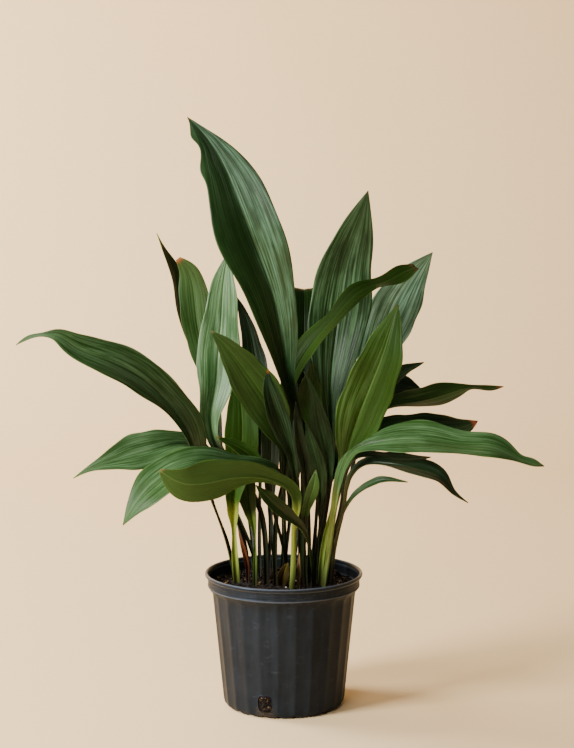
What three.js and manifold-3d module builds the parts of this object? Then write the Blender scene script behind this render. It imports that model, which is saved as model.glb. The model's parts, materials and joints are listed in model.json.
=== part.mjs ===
// Potted cast iron plant in a fluted round nursery pot.
// Millimetres, +Z up. The origin is the centre of the pot's underside and the plant's front faces -Y.
import * as THREE from "three";
import { mergeVertices } from "three/addons/utils/BufferGeometryUtils.js";
import Module from "manifold-3d";

const wasm = await Module();
wasm.setup();

// Driving dimensions of the pot, a moulded one that is 254 across its rim. Its wall widens from the
// foot to a plain band under the rolled lip, and has fluted panels whose seams start at PANEL_SEAM
// degrees from the front.
const POT_HEIGHT = 217;
const RIM_RADIUS = 127;
const LIP_HEIGHT = 5;
const LIP_EDGE = 1.6;
const BAND_RADIUS = 122.8;
const BAND_FOOT = { radius: 122.2, height: 195 };
const WALL_TOP = { radius: 115.8, height: 185 };
const WALL_FOOT = { radius: 98.8, height: 13 };
const HEEL = { radius: 97, height: 5 };
const TOE_RADIUS = 92.8;
const STANDING_RADIUS = 84;
const WALL = 2.2;
const FLOOR = 2.8;
const FLOOR_RADIUS = 91.6;
const PANELS = 24;
const PANEL_SEAM = -5;
const FLUTE_DEPTH = 0.8;
const SCALLOP_HEIGHT = 1.6;

// Driving dimensions of the three drain holes, low in the wall
const DRAINS = 3;
const DRAIN_ANGLE = -18;
const DRAIN = { width: 22.7, bottom: 11, top: 38, corner: 6 };

// Driving dimensions of the soil, and of the rhizome that creeps in it and carries the leaves' feet
const SOIL_TOP = 196;
const SOIL_SWELL = 1.6;
const SWELL_LENGTH = { x: 17, y: 13 };
const FOOT_HEIGHT = 174;
const RHIZOME_WIDTH = 14;
const RHIZOME_HEIGHT = 12;
const RHIZOME_END = 4;

// Clearances: between touching pieces, beside the rhizome, and at the corners of a stalk's hole
const GAP = 0.3;
const BED_GAP = 1.2;
const HOLE_GAP = 1.4;
const HOLE_OVERRUN = 3;

// Driving dimensions of every leaf: half the blade's thickness, the least half width, the keel's
// depth as a share of the stalk, the ripple of the margins, and the longest steps of the solid
const SKIN = 0.35;
const EDGE = 0.6;
const KEEL = 1.25;
const RIPPLE = 0.03;
const MARGIN_SHIFT = 1.9;
const STALK_STEP = 60;
const BLADE_STEP = 27;

// Cut solids drop corners that change their shape by less than this
const SLIVER = 0.1;

const DEEP = "#34502c";
const DARK = "#26391f";
const BRIGHT = "#587a26";
const OLIVE = "#55622a";
const PALE = "#6f8f6b";
const RUSSET = "#7a4025";
const TAN = "#9a7b50";
const BROWN = "#4a3020";

// The leaves, as they stand in the pot. A leaf's foot [x, y] stands on the rhizome. stalk gives the
// middle of its stalk as [x, y, z], and blade the blade's midrib up to its tip, as [x, y, z, half the
// width]. stem is half the stalk's width. face turns the blade about +Z, and roll (degrees) turns it
// about its midrib at its base, middle and tip. fold is how far each half of the blade rises
// (degrees) at those places. wave is [height, waves along the blade, phase] of its margin. Each of
// its lobes is [side, t, spread, reach], a swelling of its margin on one side, where t runs from 0 at
// the blade's base to 1 at its tip.
const LEAVES = {
  leaf_01: {
    foot: [28, 16], stem: 4.5, stalk: [[29, 2, 285], [31, -6, 385]],
    blade: [
      [24, -18, 458, 8], [6, -36, 540, 18], [-4, -50, 605, 32], [-20, -60, 680, 44], [-45, -62, 748, 55],
      [-70, -56, 815, 49], [-92, -45, 868, 33], [-120, -32, 912, 15], [-150, -16, 943, 0.5],
    ],
    fold: [55, 20, 6], wave: [1.5, 2, 0.1],
    lobes: [[-1, 0.94, 0.03, 9], [-1, 0.83, 0.035, 7], [1, 0.93, 0.06, -3], [1, 0.5, 0.2, -3]],
  },
  leaf_02: {
    foot: [-54, 58], stem: 3, stalk: [[-72, 78, 268], [-99, 95, 366]],
    blade: [
      [-120, 112, 460, 9], [-150, 132, 565, 15], [-174, 140, 640, 17.5], [-183, 138, 695, 15],
      [-194, 134, 720, 8], [-209, 126, 755, 0.5],
    ],
    roll: [30, 60, 70], tone: DARK,
  },
  leaf_03: {
    foot: [-34, 66], stem: 3.2, stalk: [[-60, 61, 258], [-97, 66, 355]],
    blade: [
      [-109, 76, 452, 8], [-125, 88, 534, 18], [-141, 94, 602, 24], [-147, 94, 655, 24.5],
      [-158, 89, 699, 14.5], [-172, 82, 716, 4.5],
    ],
    roll: [10, 5, 0],
  },
  leaf_04: {
    foot: [-28, 10], stem: 4.4, stalk: [[-29, 4, 250], [-36, 8, 308], [-68, 16, 370]],
    blade: [
      [-111, 20, 425, 11], [-118, 20, 465, 19], [-110, 20, 512, 28], [-105, 23, 570, 35],
      [-100, 27, 625, 28], [-97, 30, 672, 21], [-89, 34, 730, 0.5],
    ],
    fold: [40, 12, 5], wave: [2, 2, 0.6], tone: PALE,
  },
  leaf_05: {
    foot: [-38, 36], stem: 3, stalk: [[-40, 56, 255], [-39, 84, 350]],
    blade: [
      [-38, 100, 423, 8], [-40, 113, 485, 17], [-47, 124, 548, 20], [-59, 134, 603, 14],
      [-81, 144, 653, 0.5],
    ],
    tone: DARK, lobes: [[1, 0.7, 0.2, -6]],
  },
  leaf_06: {
    foot: [-12, -10], stem: 3.6, stalk: [[-14, -12, 255], [-7, -17, 338]],
    blade: [
      [5, -26, 406, 8], [-7, -39, 455, 23], [-28, -53, 502, 36], [-58, -62, 548, 31],
      [-90, -66, 590, 14.5], [-113, -64, 613, 0.5],
    ],
    roll: [0, -5, -10], fold: [45, 12, 5], tone: DARK,
  },
  leaf_07: {
    foot: [26, -6], stem: 3.2, stalk: [[26, -30, 290], [23, -52, 352]],
    blade: [
      [18, -64, 386, 6], [10, -78, 427, 10], [-3, -90, 465, 16.5], [-16, -99, 505, 16],
      [-24, -100, 538, 7.5], [-24, -96, 558, 0.5],
    ],
    roll: [0, 10, 20], fold: [50, 25, 10],
  },
  leaf_08: {
    foot: [40, 4], stem: 3, stalk: [[41, -6, 280], [39, -18, 329]],
    blade: [[35, -30, 369, 6], [30, -42, 410, 11], [23, -50, 450, 9], [19, -52, 500, 0.5]],
    roll: [25, 25, 25], fold: [40, 25, 10], tone: DARK,
  },
  leaf_09: {
    foot: [47, 48], stem: 2.8, stalk: [[52, 52, 275], [57, 52, 360]],
    blade: [
      [59, 50, 403, 6], [52, 47, 445, 13], [42, 44, 490, 20.5], [42, 42, 510, 19], [44, 38, 532, 8],
      [45, 34, 554, 0.5],
    ],
    tone: BRIGHT,
  },
  leaf_10: {
    foot: [54, 32], stem: 3, stalk: [[60, 28, 262], [70, 24, 321]],
    blade: [
      [73, 20, 366, 7], [67, 13, 415, 16.5], [55, 7, 465, 15.5], [50, 4, 495, 8], [42, 2, 521, 3],
      [32, 0, 542, 0.5],
    ],
    fold: [40, 15, 5], tone: PALE,
  },
  leaf_11: {
    foot: [49, 10], stem: 2.8, stalk: [[54, 2, 255], [58, -4, 310]],
    blade: [[58, -8, 335, 8], [55, -20, 382, 14], [46, -29, 423, 10.5], [34, -35, 467, 0.5]],
  },
  leaf_12: {
    foot: [38, -32], stem: 2.6, stalk: [[34, -42, 245], [33, -56, 296]],
    blade: [[33, -66, 321, 6], [39, -77, 347, 8.5], [46, -84, 370, 9.5], [50, -86, 398, 0.5]],
    tone: BRIGHT,
  },
  leaf_13: {
    foot: [-76, 40], stem: 3.2, stalk: [[-88, 18, 250], [-116, -34, 350]],
    blade: [
      [-137, -66, 420, 18], [-152, -92, 468, 31], [-180, -115, 512, 30], [-225, -141, 556, 34],
      [-275, -161, 583, 31], [-315, -170, 602, 20], [-340, -174, 618, 10], [-360, -176, 619, 3.5],
      [-380, -176, 615, 3.5], [-400, -174, 603, 0.5],
    ],
    face: 90, roll: [-35, -45, -60], wave: [2, 2.5, 0.3],
  },
  leaf_14: {
    foot: [-58, 24], stem: 3, stalk: [[-61, 17, 252], [-86, 1, 333]],
    blade: [
      [-127, -18, 418, 10], [-160, -35, 431, 20], [-205, -59, 425, 32.5], [-245, -77, 417, 31],
      [-270, -87, 411, 18], [-295, -93, 404, 7.5], [-326, -98, 387, 0.5],
    ],
    face: 90, roll: [-40, -50, -50],
  },
  leaf_15: {
    foot: [8, 42], stem: 3.4, stalk: [[5, 28, 250], [3, -14, 328]],
    blade: [
      [-6, -58, 386, 8], [-34, -88, 405, 15], [-82, -120, 412, 24], [-130, -144, 416, 34.5],
      [-170, -158, 405, 35.5], [-195, -166, 388, 33], [-218, -172, 366, 20], [-243, -176, 329, 0.5],
    ],
    face: 100, roll: [-15, -35, -50], fold: [30, 12, 5], wave: [2, 2.5, 0.2],
  },
  leaf_16: {
    foot: [6, 4], stem: 2.6, stalk: [[0, -16, 257], [-14, -40, 318]],
    blade: [[-34, -54, 392, 8], [-50, -61, 414, 13], [-78, -71, 435, 9.5], [-105, -78, 449, 0.5]],
    face: 90, roll: [-50, -50, -50], tone: BRIGHT,
  },
  leaf_17: {
    foot: [-74, 4], stem: 4.8, stalk: [[-79, -6, 253], [-80, -12, 295]],
    blade: [
      [-81, -16, 324, 12.5], [-79, -21, 358, 20], [-68, -28, 420, 27], [-66, -28, 468, 27],
      [-69, -24, 502, 17.5], [-77, -18, 540, 0.5],
    ],
    fold: [50, 18, 8], wave: [1.5, 2, 0.2], tone: OLIVE,
  },
  leaf_18: {
    foot: [13, -22], stem: 4.6, stalk: [[17, -50, 255], [18, -76, 309]],
    blade: [
      [19, -96, 341, 9.5], [14, -118, 366, 15], [-12, -152, 392, 16], [-44, -178, 404, 23],
      [-80, -198, 405, 32], [-118, -214, 400, 36], [-150, -225, 403, 29.5], [-182, -234, 424, 3],
    ],
    face: 90, roll: [35, 62, 70], fold: [20, 12, 5], wave: [2, 2, 0.4], tone: OLIVE,
  },
  leaf_19: {
    foot: [47, -16], stem: 2.8, stalk: [[46, -36, 235], [38, -72, 284]],
    blade: [[25, -106, 311, 8.5], [4, -131, 336, 12], [-19, -148, 360, 13], [-42, -156, 387, 0.5]],
    face: 90, roll: [-40, -50, -50], fold: [45, 20, 5], tone: BRIGHT,
  },
  leaf_20: {
    foot: [-46, -10], stem: 2.8, stalk: [[-46, -14, 247], [-47, -12, 284]],
    blade: [[-52, -8, 309, 10], [-59, -8, 348, 15.5], [-62, -4, 390, 13], [-69, 8, 440, 0.5]],
  },
  leaf_21: {
    foot: [24, 70], stem: 3.2, stalk: [[33, 84, 267], [35, 104, 364]],
    blade: [
      [35, 122, 462, 10], [33, 138, 540, 21], [34, 158, 622, 26], [34, 190, 657, 24],
      [34, 226, 640, 15.5], [38, 252, 572, 0.5],
    ],
    fold: [35, 10, 5], tone: DARK,
  },
  leaf_22: {
    foot: [57, 62], stem: 4.2, stalk: [[62, 72, 253], [76, 82, 351]],
    blade: [
      [78, 88, 422, 8], [76, 93, 490, 25], [81, 97, 558, 41], [92, 98, 640, 51], [103, 93, 708, 42],
      [120, 86, 768, 25.5], [136, 76, 826, 0.5],
    ],
    fold: [45, 12, 5], wave: [2, 2, 0.5],
  },
  leaf_23: {
    foot: [-6, 58], stem: 3, stalk: [[-1, 56, 273], [-5, 48, 390]],
    blade: [
      [2, 34, 475, 10], [16, 27, 533, 19.5], [50, 26, 590, 21], [85, 28, 629, 16.5],
      [125, 35, 668, 21], [172, 46, 685, 18], [195, 52, 697, 18], [213, 58, 704, 9],
    ],
    roll: [-40, -45, -20], fold: [35, 10, 5], tone: OLIVE,
  },
  leaf_24: {
    foot: [60, 44], stem: 3.8, stalk: [[71, 60, 255], [95, 106, 347]],
    blade: [
      [112, 146, 450, 8], [140, 163, 520, 25], [165, 174, 575, 36], [190, 178, 635, 41],
      [215, 175, 678, 27], [248, 166, 721, 0.5],
    ],
    fold: [35, 14, 5], tone: PALE,
  },
  leaf_25: {
    foot: [58, -4], stem: 4.2, stalk: [[66, -12, 271], [82, -26, 339]],
    blade: [
      [88, -34, 373, 5], [98, -43, 415, 14], [108, -54, 452, 31], [130, -68, 517, 39.5],
      [152, -76, 575, 33], [168, -74, 626, 15], [177, -70, 655, 0.5],
    ],
    fold: [30, 14, 5], tone: BRIGHT,
  },
  leaf_26: {
    foot: [42, 78], stem: 2.8, stalk: [[53, 112, 278], [72, 148, 390]],
    blade: [[116, 194, 451, 7], [160, 209, 482, 16.5], [204, 222, 515, 12.5], [240, 228, 529, 0.5]],
    face: -90, roll: [40, 45, 45], tone: DARK,
  },
  leaf_27: {
    foot: [12, 84], stem: 2.8, stalk: [[31, 150, 304], [65, 200, 406]],
    blade: [
      [120, 228, 455, 8], [165, 242, 476, 18.5], [202, 254, 487, 20.5], [222, 258, 482, 13],
      [241, 260, 475, 0.5],
    ],
    face: -90, roll: [40, 50, 50], tone: DARK,
  },
  leaf_28: {
    foot: [75, 40], stem: 3, stalk: [[85, 52, 274], [111, 80, 368]],
    blade: [
      [136, 112, 433, 10], [175, 142, 464, 13.5], [219, 168, 469, 25.5], [255, 186, 474, 29.5],
      [296, 204, 484, 19], [320, 212, 488, 7], [348, 218, 486, 8], [376, 222, 488, 0.5],
    ],
    face: -90, roll: [30, 30, 30], tone: OLIVE,
  },
  leaf_29: {
    foot: [60, 24], stem: 3, stalk: [[69, 32, 261], [95, 46, 358]],
    blade: [
      [116, 62, 401, 9], [145, 79, 423, 21], [180, 92, 432, 30], [240, 113, 433, 31],
      [300, 132, 433, 22], [324, 138, 441, 0.5],
    ],
    face: -90, roll: [30, 30, 30], tone: DARK,
  },
  leaf_30: {
    foot: [61, -20], stem: 4.5, stalk: [[72, -42, 277]],
    blade: [
      [81, -66, 347, 8.5], [92, -83, 400, 13], [112, -97, 434, 17], [140, -110, 445, 24],
      [175, -122, 452, 33], [235, -140, 452, 33.5], [277, -151, 448, 27.5], [314, -158, 447, 28.5],
      [340, -162, 437, 18.5], [360, -165, 428, 9.5], [378, -166, 423, 9.5], [394, -166, 418, 0.5],
    ],
    face: -90, roll: [34, 34, 30], fold: [20, 10, 5], wave: [1.5, 3, 0.3],
    lobes: [[-1, 0.26, 0.09, -14]],
  },
  leaf_31: {
    foot: [74, -8], stem: 3, stalk: [[83, -14, 271], [95, -30, 331]],
    blade: [
      [101, -50, 372, 6], [125, -78, 405, 10], [167, -108, 411, 14], [215, -131, 405, 22],
      [240, -142, 395, 17.5], [255, -148, 379, 8], [281, -152, 359, 0.5],
    ],
    face: -90, roll: [20, 24, 38], tone: DARK,
  },
  leaf_32: {
    foot: [68, 8], stem: 2.5, stalk: [[72, -6, 244], [83, -40, 293]],
    blade: [[98, -66, 337, 4.5], [120, -86, 366, 7], [150, -104, 385, 7.5], [191, -120, 385, 0.5]],
    face: -90, roll: [20, 30, 30],
  },
  leaf_33: {
    foot: [71, 24], stem: 2.6, stalk: [[76, 16, 255], [92, 4, 333]],
    blade: [
      [100, -2, 380, 5], [113, 0, 400, 8], [150, 12, 402, 12], [205, 31, 396, 11.5],
      [239, 44, 396, 0.5],
    ],
    face: -90, roll: [20, 25, 25], tone: DARK,
  },
  leaf_34: {
    foot: [-14, 84], stem: 3.4, stalk: [[-20, 110, 260], [-30, 150, 355]],
    blade: [
      [-37, 180, 428, 8.5], [-42, 215, 466, 26], [-46, 260, 486, 34], [-48, 300, 480, 27],
      [-46, 330, 446, 0.5],
    ],
  },
  leaf_35: {
    foot: [23, 88], stem: 3.6, stalk: [[36, 122, 256], [54, 176, 386]],
    blade: [
      [71, 192, 452, 8.5], [90, 213, 520, 25], [103, 255, 582, 36], [110, 305, 600, 30],
      [119, 352, 561, 0.5],
    ],
  },
  leaf_36: {
    foot: [-50, 78], stem: 3.2, stalk: [[-53, 110, 244], [-62, 146, 305]],
    blade: [
      [-64, 175, 355, 8.5], [-68, 215, 384, 21], [-70, 265, 389, 25], [-69, 305, 369, 16],
      [-68, 322, 347, 0.5],
    ],
    tone: PALE,
  },
  leaf_37: {
    foot: [62, 84], stem: 3.2, stalk: [[60, 96, 256], [70, 114, 320]],
    blade: [
      [84, 132, 359, 8], [99, 165, 387, 20], [111, 215, 398, 26.5], [120, 262, 383, 17.5],
      [126, 285, 358, 0.5],
    ],
  },
  leaf_38: {
    foot: [-24, 63], stem: 2.6, stalk: [[-23, 68, 250]],
    blade: [
      [-22, 70, 295, 4], [-22, 71, 350, 11], [-21, 72, 410, 16], [-22, 75, 462, 13],
      [-26, 78, 505, 0.5],
    ],
    tone: DARK,
  },
  leaf_39: {
    foot: [0, 81], stem: 2.8, stalk: [[6, 77, 252]],
    blade: [
      [11, 73, 300, 4.5], [13, 72, 355, 13], [14, 73, 415, 17], [15, 76, 470, 13.5],
      [20, 79, 522, 0.5],
    ],
    tone: DARK,
  },
  young_shoot: {
    foot: [-3, -19], stem: 5.5, stalk: [],
    blade: [[-3, -21, 198, 5.5], [-2, -23, 209, 9.5], [0, -25, 220, 9.5], [7, -28, 237, 1]],
    fold: [60, 60, 40], tone: OLIVE,
  },
  dry_sheath_1: {
    foot: [-58, 7], stem: 2.4, stalk: [[-58, 4, 205]],
    blade: [[-59, -2, 228, 4], [-64, -9, 253, 4], [-73, -14, 289, 0.5]],
    fold: [60, 40, 20], tone: RUSSET,
  },
  dry_sheath_2: {
    foot: [25, -26], stem: 2.4, stalk: [[24, -30, 203]],
    blade: [[24, -31, 216, 4], [24, -32, 233, 3], [25, -33, 254, 0.5]],
    fold: [60, 40, 20], tone: TAN,
  },
  dead_stalk: {
    foot: [74, 66], stem: 1.8, stalk: [[75, 65, 201]],
    blade: [[78, 63, 215, 2.5], [82, 62, 231, 2], [87, 60, 246, 0.5]],
    fold: [40, 20, 10], tone: BROWN,
  },
};

// What a leaf has where its own entry says nothing else
const PLAIN_LEAF = {
  face: 0, roll: [0, 0, 0], fold: [35, 12, 5], wave: [1.5, 2.5, 0.3], lobes: [], tone: DEEP,
};

// The rhizome's branches. Each creeps under the feet of the leaves that grew from it.
const BRANCHES = [
  [
    "leaf_17", "dry_sheath_1", "leaf_20", "leaf_04", "leaf_06", "young_shoot", "leaf_18",
    "dry_sheath_2", "leaf_12", "leaf_19", "leaf_25", "leaf_30", "leaf_31",
  ],
  ["leaf_13", "leaf_14", "leaf_05", "leaf_04", "leaf_16", "leaf_07", "leaf_08", "leaf_11", "leaf_10"],
  ["leaf_36", "leaf_02", "leaf_03", "leaf_38", "leaf_23", "leaf_15", "leaf_01", "leaf_07"],
  [
    "leaf_34", "leaf_39", "leaf_27", "leaf_21", "leaf_35", "leaf_26", "leaf_37", "leaf_22",
    "leaf_24", "leaf_10",
  ],
  ["dead_stalk", "leaf_28", "leaf_33", "leaf_29", "leaf_10", "leaf_09"],
  ["leaf_29", "leaf_32", "leaf_31"],
  ["leaf_33", "leaf_32"],
];

// A closed shell through rings of equal count, seen anticlockwise from the way that they advance
function loft(rings) {
  const count = rings[0].length;
  const points = rings.flat();
  const triangles = [];
  for (let row = 0; row + 1 < rings.length; row += 1) {
    for (let j = 0; j < count; j += 1) {
      const a = row * count + j;
      const b = row * count + ((j + 1) % count);
      triangles.push([a, b, b + count], [a, b + count, a + count]);
    }
  }
  for (const [row, turned] of [[0, true], [rings.length - 1, false]]) {
    const middle = new THREE.Vector3();
    rings[row].forEach((point) => middle.addScaledVector(point, 1 / count));
    points.push(middle);
    for (let j = 0; j < count; j += 1) {
      const a = row * count + j;
      const b = row * count + ((j + 1) % count);
      triangles.push(turned ? [b, a, points.length - 1] : [a, b, points.length - 1]);
    }
  }
  return surface(points, triangles);
}

function surface(points, triangles) {
  const geometry = new THREE.BufferGeometry().setFromPoints(points);
  geometry.setIndex(triangles.flat());
  return geometry;
}

function toSolid(geometry) {
  const merged = mergeVertices(geometry, 1e-4);
  return new wasm.Manifold(new wasm.Mesh({
    numProp: 3,
    vertProperties: new Float32Array(merged.attributes.position.array),
    triVerts: new Uint32Array(merged.index.array),
  }));
}

function toGeometry(solid) {
  const mesh = solid.asOriginal().simplify(SLIVER).getMesh();
  const geometry = new THREE.BufferGeometry();
  geometry.setAttribute("position", new THREE.BufferAttribute(mesh.vertProperties, 3));
  geometry.setIndex(new THREE.BufferAttribute(mesh.triVerts, 1));
  return geometry;
}

function piece(name, geometry, color, roughness) {
  const smooth = geometry.clone();
  smooth.computeVertexNormals();
  const material = new THREE.MeshStandardMaterial({ color, roughness, metalness: 0 });
  const mesh = new THREE.Mesh(smooth, material);
  mesh.name = name;
  return mesh;
}

// A point of the pot, at an angle in degrees from its front, turning towards +X
function around(degrees, radius, height) {
  const angle = THREE.MathUtils.degToRad(degrees - 90);
  return new THREE.Vector3(radius * Math.cos(angle), radius * Math.sin(angle), height);
}

// A ring of the pot. Where it has panels, it has a corner at each seam and a fluted flat between.
function potRing(radius, height, panelled = true, scallop = 0) {
  const halfPanel = 180 / PANELS;
  const flat = radius * Math.cos(THREE.MathUtils.degToRad(halfPanel)) - FLUTE_DEPTH;
  return Array.from({ length: 2 * PANELS }, (_, j) => {
    const middle = j % 2 === 1;
    const reach = panelled && middle ? flat : radius;
    return around(PANEL_SEAM + j * halfPanel, reach, middle ? height : height + scallop);
  });
}

// One wall, turned over at the lip: up the outside, down the inside and across the floor
function pot() {
  const outside = [
    potRing(STANDING_RADIUS, 0, false),
    potRing(TOE_RADIUS, 0, true, SCALLOP_HEIGHT),
    potRing(HEEL.radius, HEEL.height),
    potRing(WALL_FOOT.radius, WALL_FOOT.height),
    potRing(WALL_TOP.radius, WALL_TOP.height),
    potRing(BAND_FOOT.radius, BAND_FOOT.height, false),
    potRing(BAND_RADIUS, POT_HEIGHT - LIP_HEIGHT - 2 * LIP_EDGE, false),
    potRing(RIM_RADIUS, POT_HEIGHT - LIP_HEIGHT, false),
    potRing(RIM_RADIUS, POT_HEIGHT - LIP_EDGE, false),
    potRing(RIM_RADIUS - LIP_EDGE, POT_HEIGHT, false),
  ];
  const inside = [
    potRing(RIM_RADIUS - WALL - LIP_EDGE / 2, POT_HEIGHT, false),
    potRing(BAND_RADIUS - WALL, POT_HEIGHT - LIP_HEIGHT, false),
    potRing(BAND_FOOT.radius - WALL, BAND_FOOT.height, false),
    potRing(WALL_TOP.radius - WALL, WALL_TOP.height),
    potRing(WALL_FOOT.radius - WALL, WALL_FOOT.height),
    potRing(FLOOR_RADIUS, FLOOR),
  ];
  let shell = toSolid(loft([...outside, ...inside]));
  for (let k = 0; k < DRAINS; k += 1) {
    shell = shell.subtract(drainCutter(DRAIN_ANGLE + (k * 360) / DRAINS));
  }
  return toGeometry(shell);
}

// A square bar with cut corners, along a radius of the pot
function drainCutter(degrees) {
  const { width, bottom, top, corner } = DRAIN;
  const outline = [
    [-width / 2, bottom + corner], [corner - width / 2, bottom], [width / 2 - corner, bottom],
    [width / 2, bottom + corner], [width / 2, top - corner], [width / 2 - corner, top],
    [corner - width / 2, top], [-width / 2, top - corner],
  ];
  const outwards = around(degrees, 1, 0);
  const sideways = around(degrees + 90, 1, 0);
  return toSolid(loft([STANDING_RADIUS, RIM_RADIUS].map((reach) => outline.map(([side, height]) => (
    new THREE.Vector3(0, 0, height).addScaledVector(outwards, reach).addScaledVector(sideways, side)
  )))));
}

// The potting mix fills the pot, GAP inside its wall, with a hole for each stalk and a bed for the
// rhizome. Its top swells and dips.
function soil(holes, bed) {
  const reach = WALL + GAP;
  const brim = SOIL_TOP - 1;
  const flare = (BAND_FOOT.radius - WALL_TOP.radius) / (BAND_FOOT.height - WALL_TOP.height);
  const brimRadius = WALL_TOP.radius + flare * (brim - WALL_TOP.height) - reach - GAP;
  const rings = [
    potRing(FLOOR_RADIUS - GAP, FLOOR + GAP),
    potRing(WALL_FOOT.radius - reach, WALL_FOOT.height + GAP),
    potRing(WALL_TOP.radius - reach, WALL_TOP.height + GAP),
    potRing(brimRadius, brim),
  ];
  for (const share of [0.7, 0.3]) {
    const ring = potRing(share * brimRadius, SOIL_TOP, false);
    rings.push(ring.map((point) => point.setZ(
      SOIL_TOP + SOIL_SWELL * Math.sin(point.x / SWELL_LENGTH.x) * Math.cos(point.y / SWELL_LENGTH.y),
    )));
  }
  const fill = holes.reduce((left, hole) => left.subtract(hole), toSolid(loft(rings)).subtract(bed));
  return toGeometry(fill);
}

// The rhizome's branches, joined. The outline across a branch is given as [sideways, upwards] from
// its middle, and its flat top lies level, so that the leaves' feet stand on it.
function rhizome({ outline, end }) {
  const middle = FOOT_HEIGHT - GAP - RHIZOME_HEIGHT / 2;
  const branches = BRANCHES.map((names) => {
    const feet = names.map((name) => new THREE.Vector3(...LEAVES[name].foot, middle));
    return toSolid(loft(feet.map((foot, i) => {
      const before = feet[Math.max(i - 1, 0)];
      const after = feet[Math.min(i + 1, feet.length - 1)];
      const ahead = after.clone().sub(before).normalize();
      const leftwards = new THREE.Vector3(-ahead.y, ahead.x, 0);
      const overrun = (i > 0 ? 0 : -end) + (i + 1 < feet.length ? 0 : end);
      return outline.map(([sideways, upwards]) => (
        new THREE.Vector3(0, 0, upwards)
          .add(foot).addScaledVector(ahead, overrun).addScaledVector(leftwards, sideways)
      ));
    })));
  });
  return branches.reduce((joined, branch) => joined.add(branch));
}

// The outline across a branch and how far its ends pass the last foot. The rhizome itself has six
// sides, and its bed in the soil four, with room round them.
function branchForms() {
  const half = RHIZOME_WIDTH / 2;
  const rise = RHIZOME_HEIGHT / 2;
  const corners = [[1, -1], [1, 1], [-1, 1], [-1, -1]];
  return {
    body: {
      outline: [
        [half, 0], [half / 2, rise], [-half / 2, rise], [-half, 0], [-half / 2, -rise], [half / 2, -rise],
      ],
      end: RHIZOME_END,
    },
    bed: {
      outline: corners.map(([x, z]) => [x * (half + BED_GAP), z * (rise + GAP)]),
      end: RHIZOME_END + GAP,
    },
  };
}

// The slopes of a natural cubic spline through values that lie spans apart
function slopes(values, spans) {
  const last = spans.length;
  const rises = spans.map((span, i) => (values[i + 1] - values[i]) / span);
  const upper = [0.5];
  const answer = [1.5 * rises[0]];
  for (let i = 1; i <= last; i += 1) {
    const before = i < last ? 1 / spans[i - 1] : 1;
    const after = i < last ? 1 / spans[i] : 0;
    const pull = 3 * (rises[i - 1] * before + (i < last ? rises[i] * after : 0));
    const pivot = (i < last ? 2 * (before + after) : 2) - before * upper[i - 1];
    upper.push(after / pivot);
    answer.push((pull - before * answer[i - 1]) / pivot);
  }
  for (let i = last - 1; i >= 0; i -= 1) {
    answer[i] -= upper[i] * answer[i + 1];
  }
  return answer;
}

// A leaf's midrib and half width as one spline, and where along it the blade starts and ends
function midrib(leaf) {
  const route = [
    [...leaf.foot, FOOT_HEIGHT, leaf.stem],
    ...leaf.stalk.map((place) => [...place, leaf.stem]),
    ...leaf.blade,
  ];
  const places = route.map(([x, y, z]) => new THREE.Vector3(x, y, z));
  const spans = places.slice(1).map((place, i) => place.distanceTo(places[i]));
  const knots = [0];
  spans.forEach((span) => knots.push(knots[knots.length - 1] + span));
  const columns = [0, 1, 2, 3].map((k) => route.map((row) => row[k]));
  const grades = columns.map((column) => slopes(column, spans));
  const at = (distance) => {
    const next = knots.findIndex((knot, i) => i > 0 && distance <= knot);
    const i = (next < 0 ? knots.length - 1 : next) - 1;
    const span = spans[i];
    const t = (distance - knots[i]) / span;
    const [x, y, z, half] = columns.map((column, k) => (
      (2 * t ** 3 - 3 * t ** 2 + 1) * column[i] + (3 * t ** 2 - 2 * t ** 3) * column[i + 1]
      + ((t ** 3 - 2 * t ** 2 + t) * grades[k][i] + (t ** 3 - t ** 2) * grades[k][i + 1]) * span
    ));
    const along = new THREE.Vector3(...grades.slice(0, 3).map((grade, k) => (
      (6 * t ** 2 - 6 * t) * (columns[k][i] - columns[k][i + 1]) / span
      + (3 * t ** 2 - 4 * t + 1) * grade[i] + (3 * t ** 2 - 2 * t) * grade[i + 1]
    )));
    return { place: new THREE.Vector3(x, y, z), along: along.normalize(), half };
  };
  return { at, start: knots[1 + leaf.stalk.length], end: knots[knots.length - 1] };
}

// Blends from the base value through the middle one to the tip's
function blend([base, middle, tip], t) {
  const lower = THREE.MathUtils.smoothstep(t, 0, 0.5);
  const upper = THREE.MathUtils.smoothstep(t, 0.5, 1);
  return base + (middle - base) * lower + (tip - middle) * upper;
}

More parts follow.
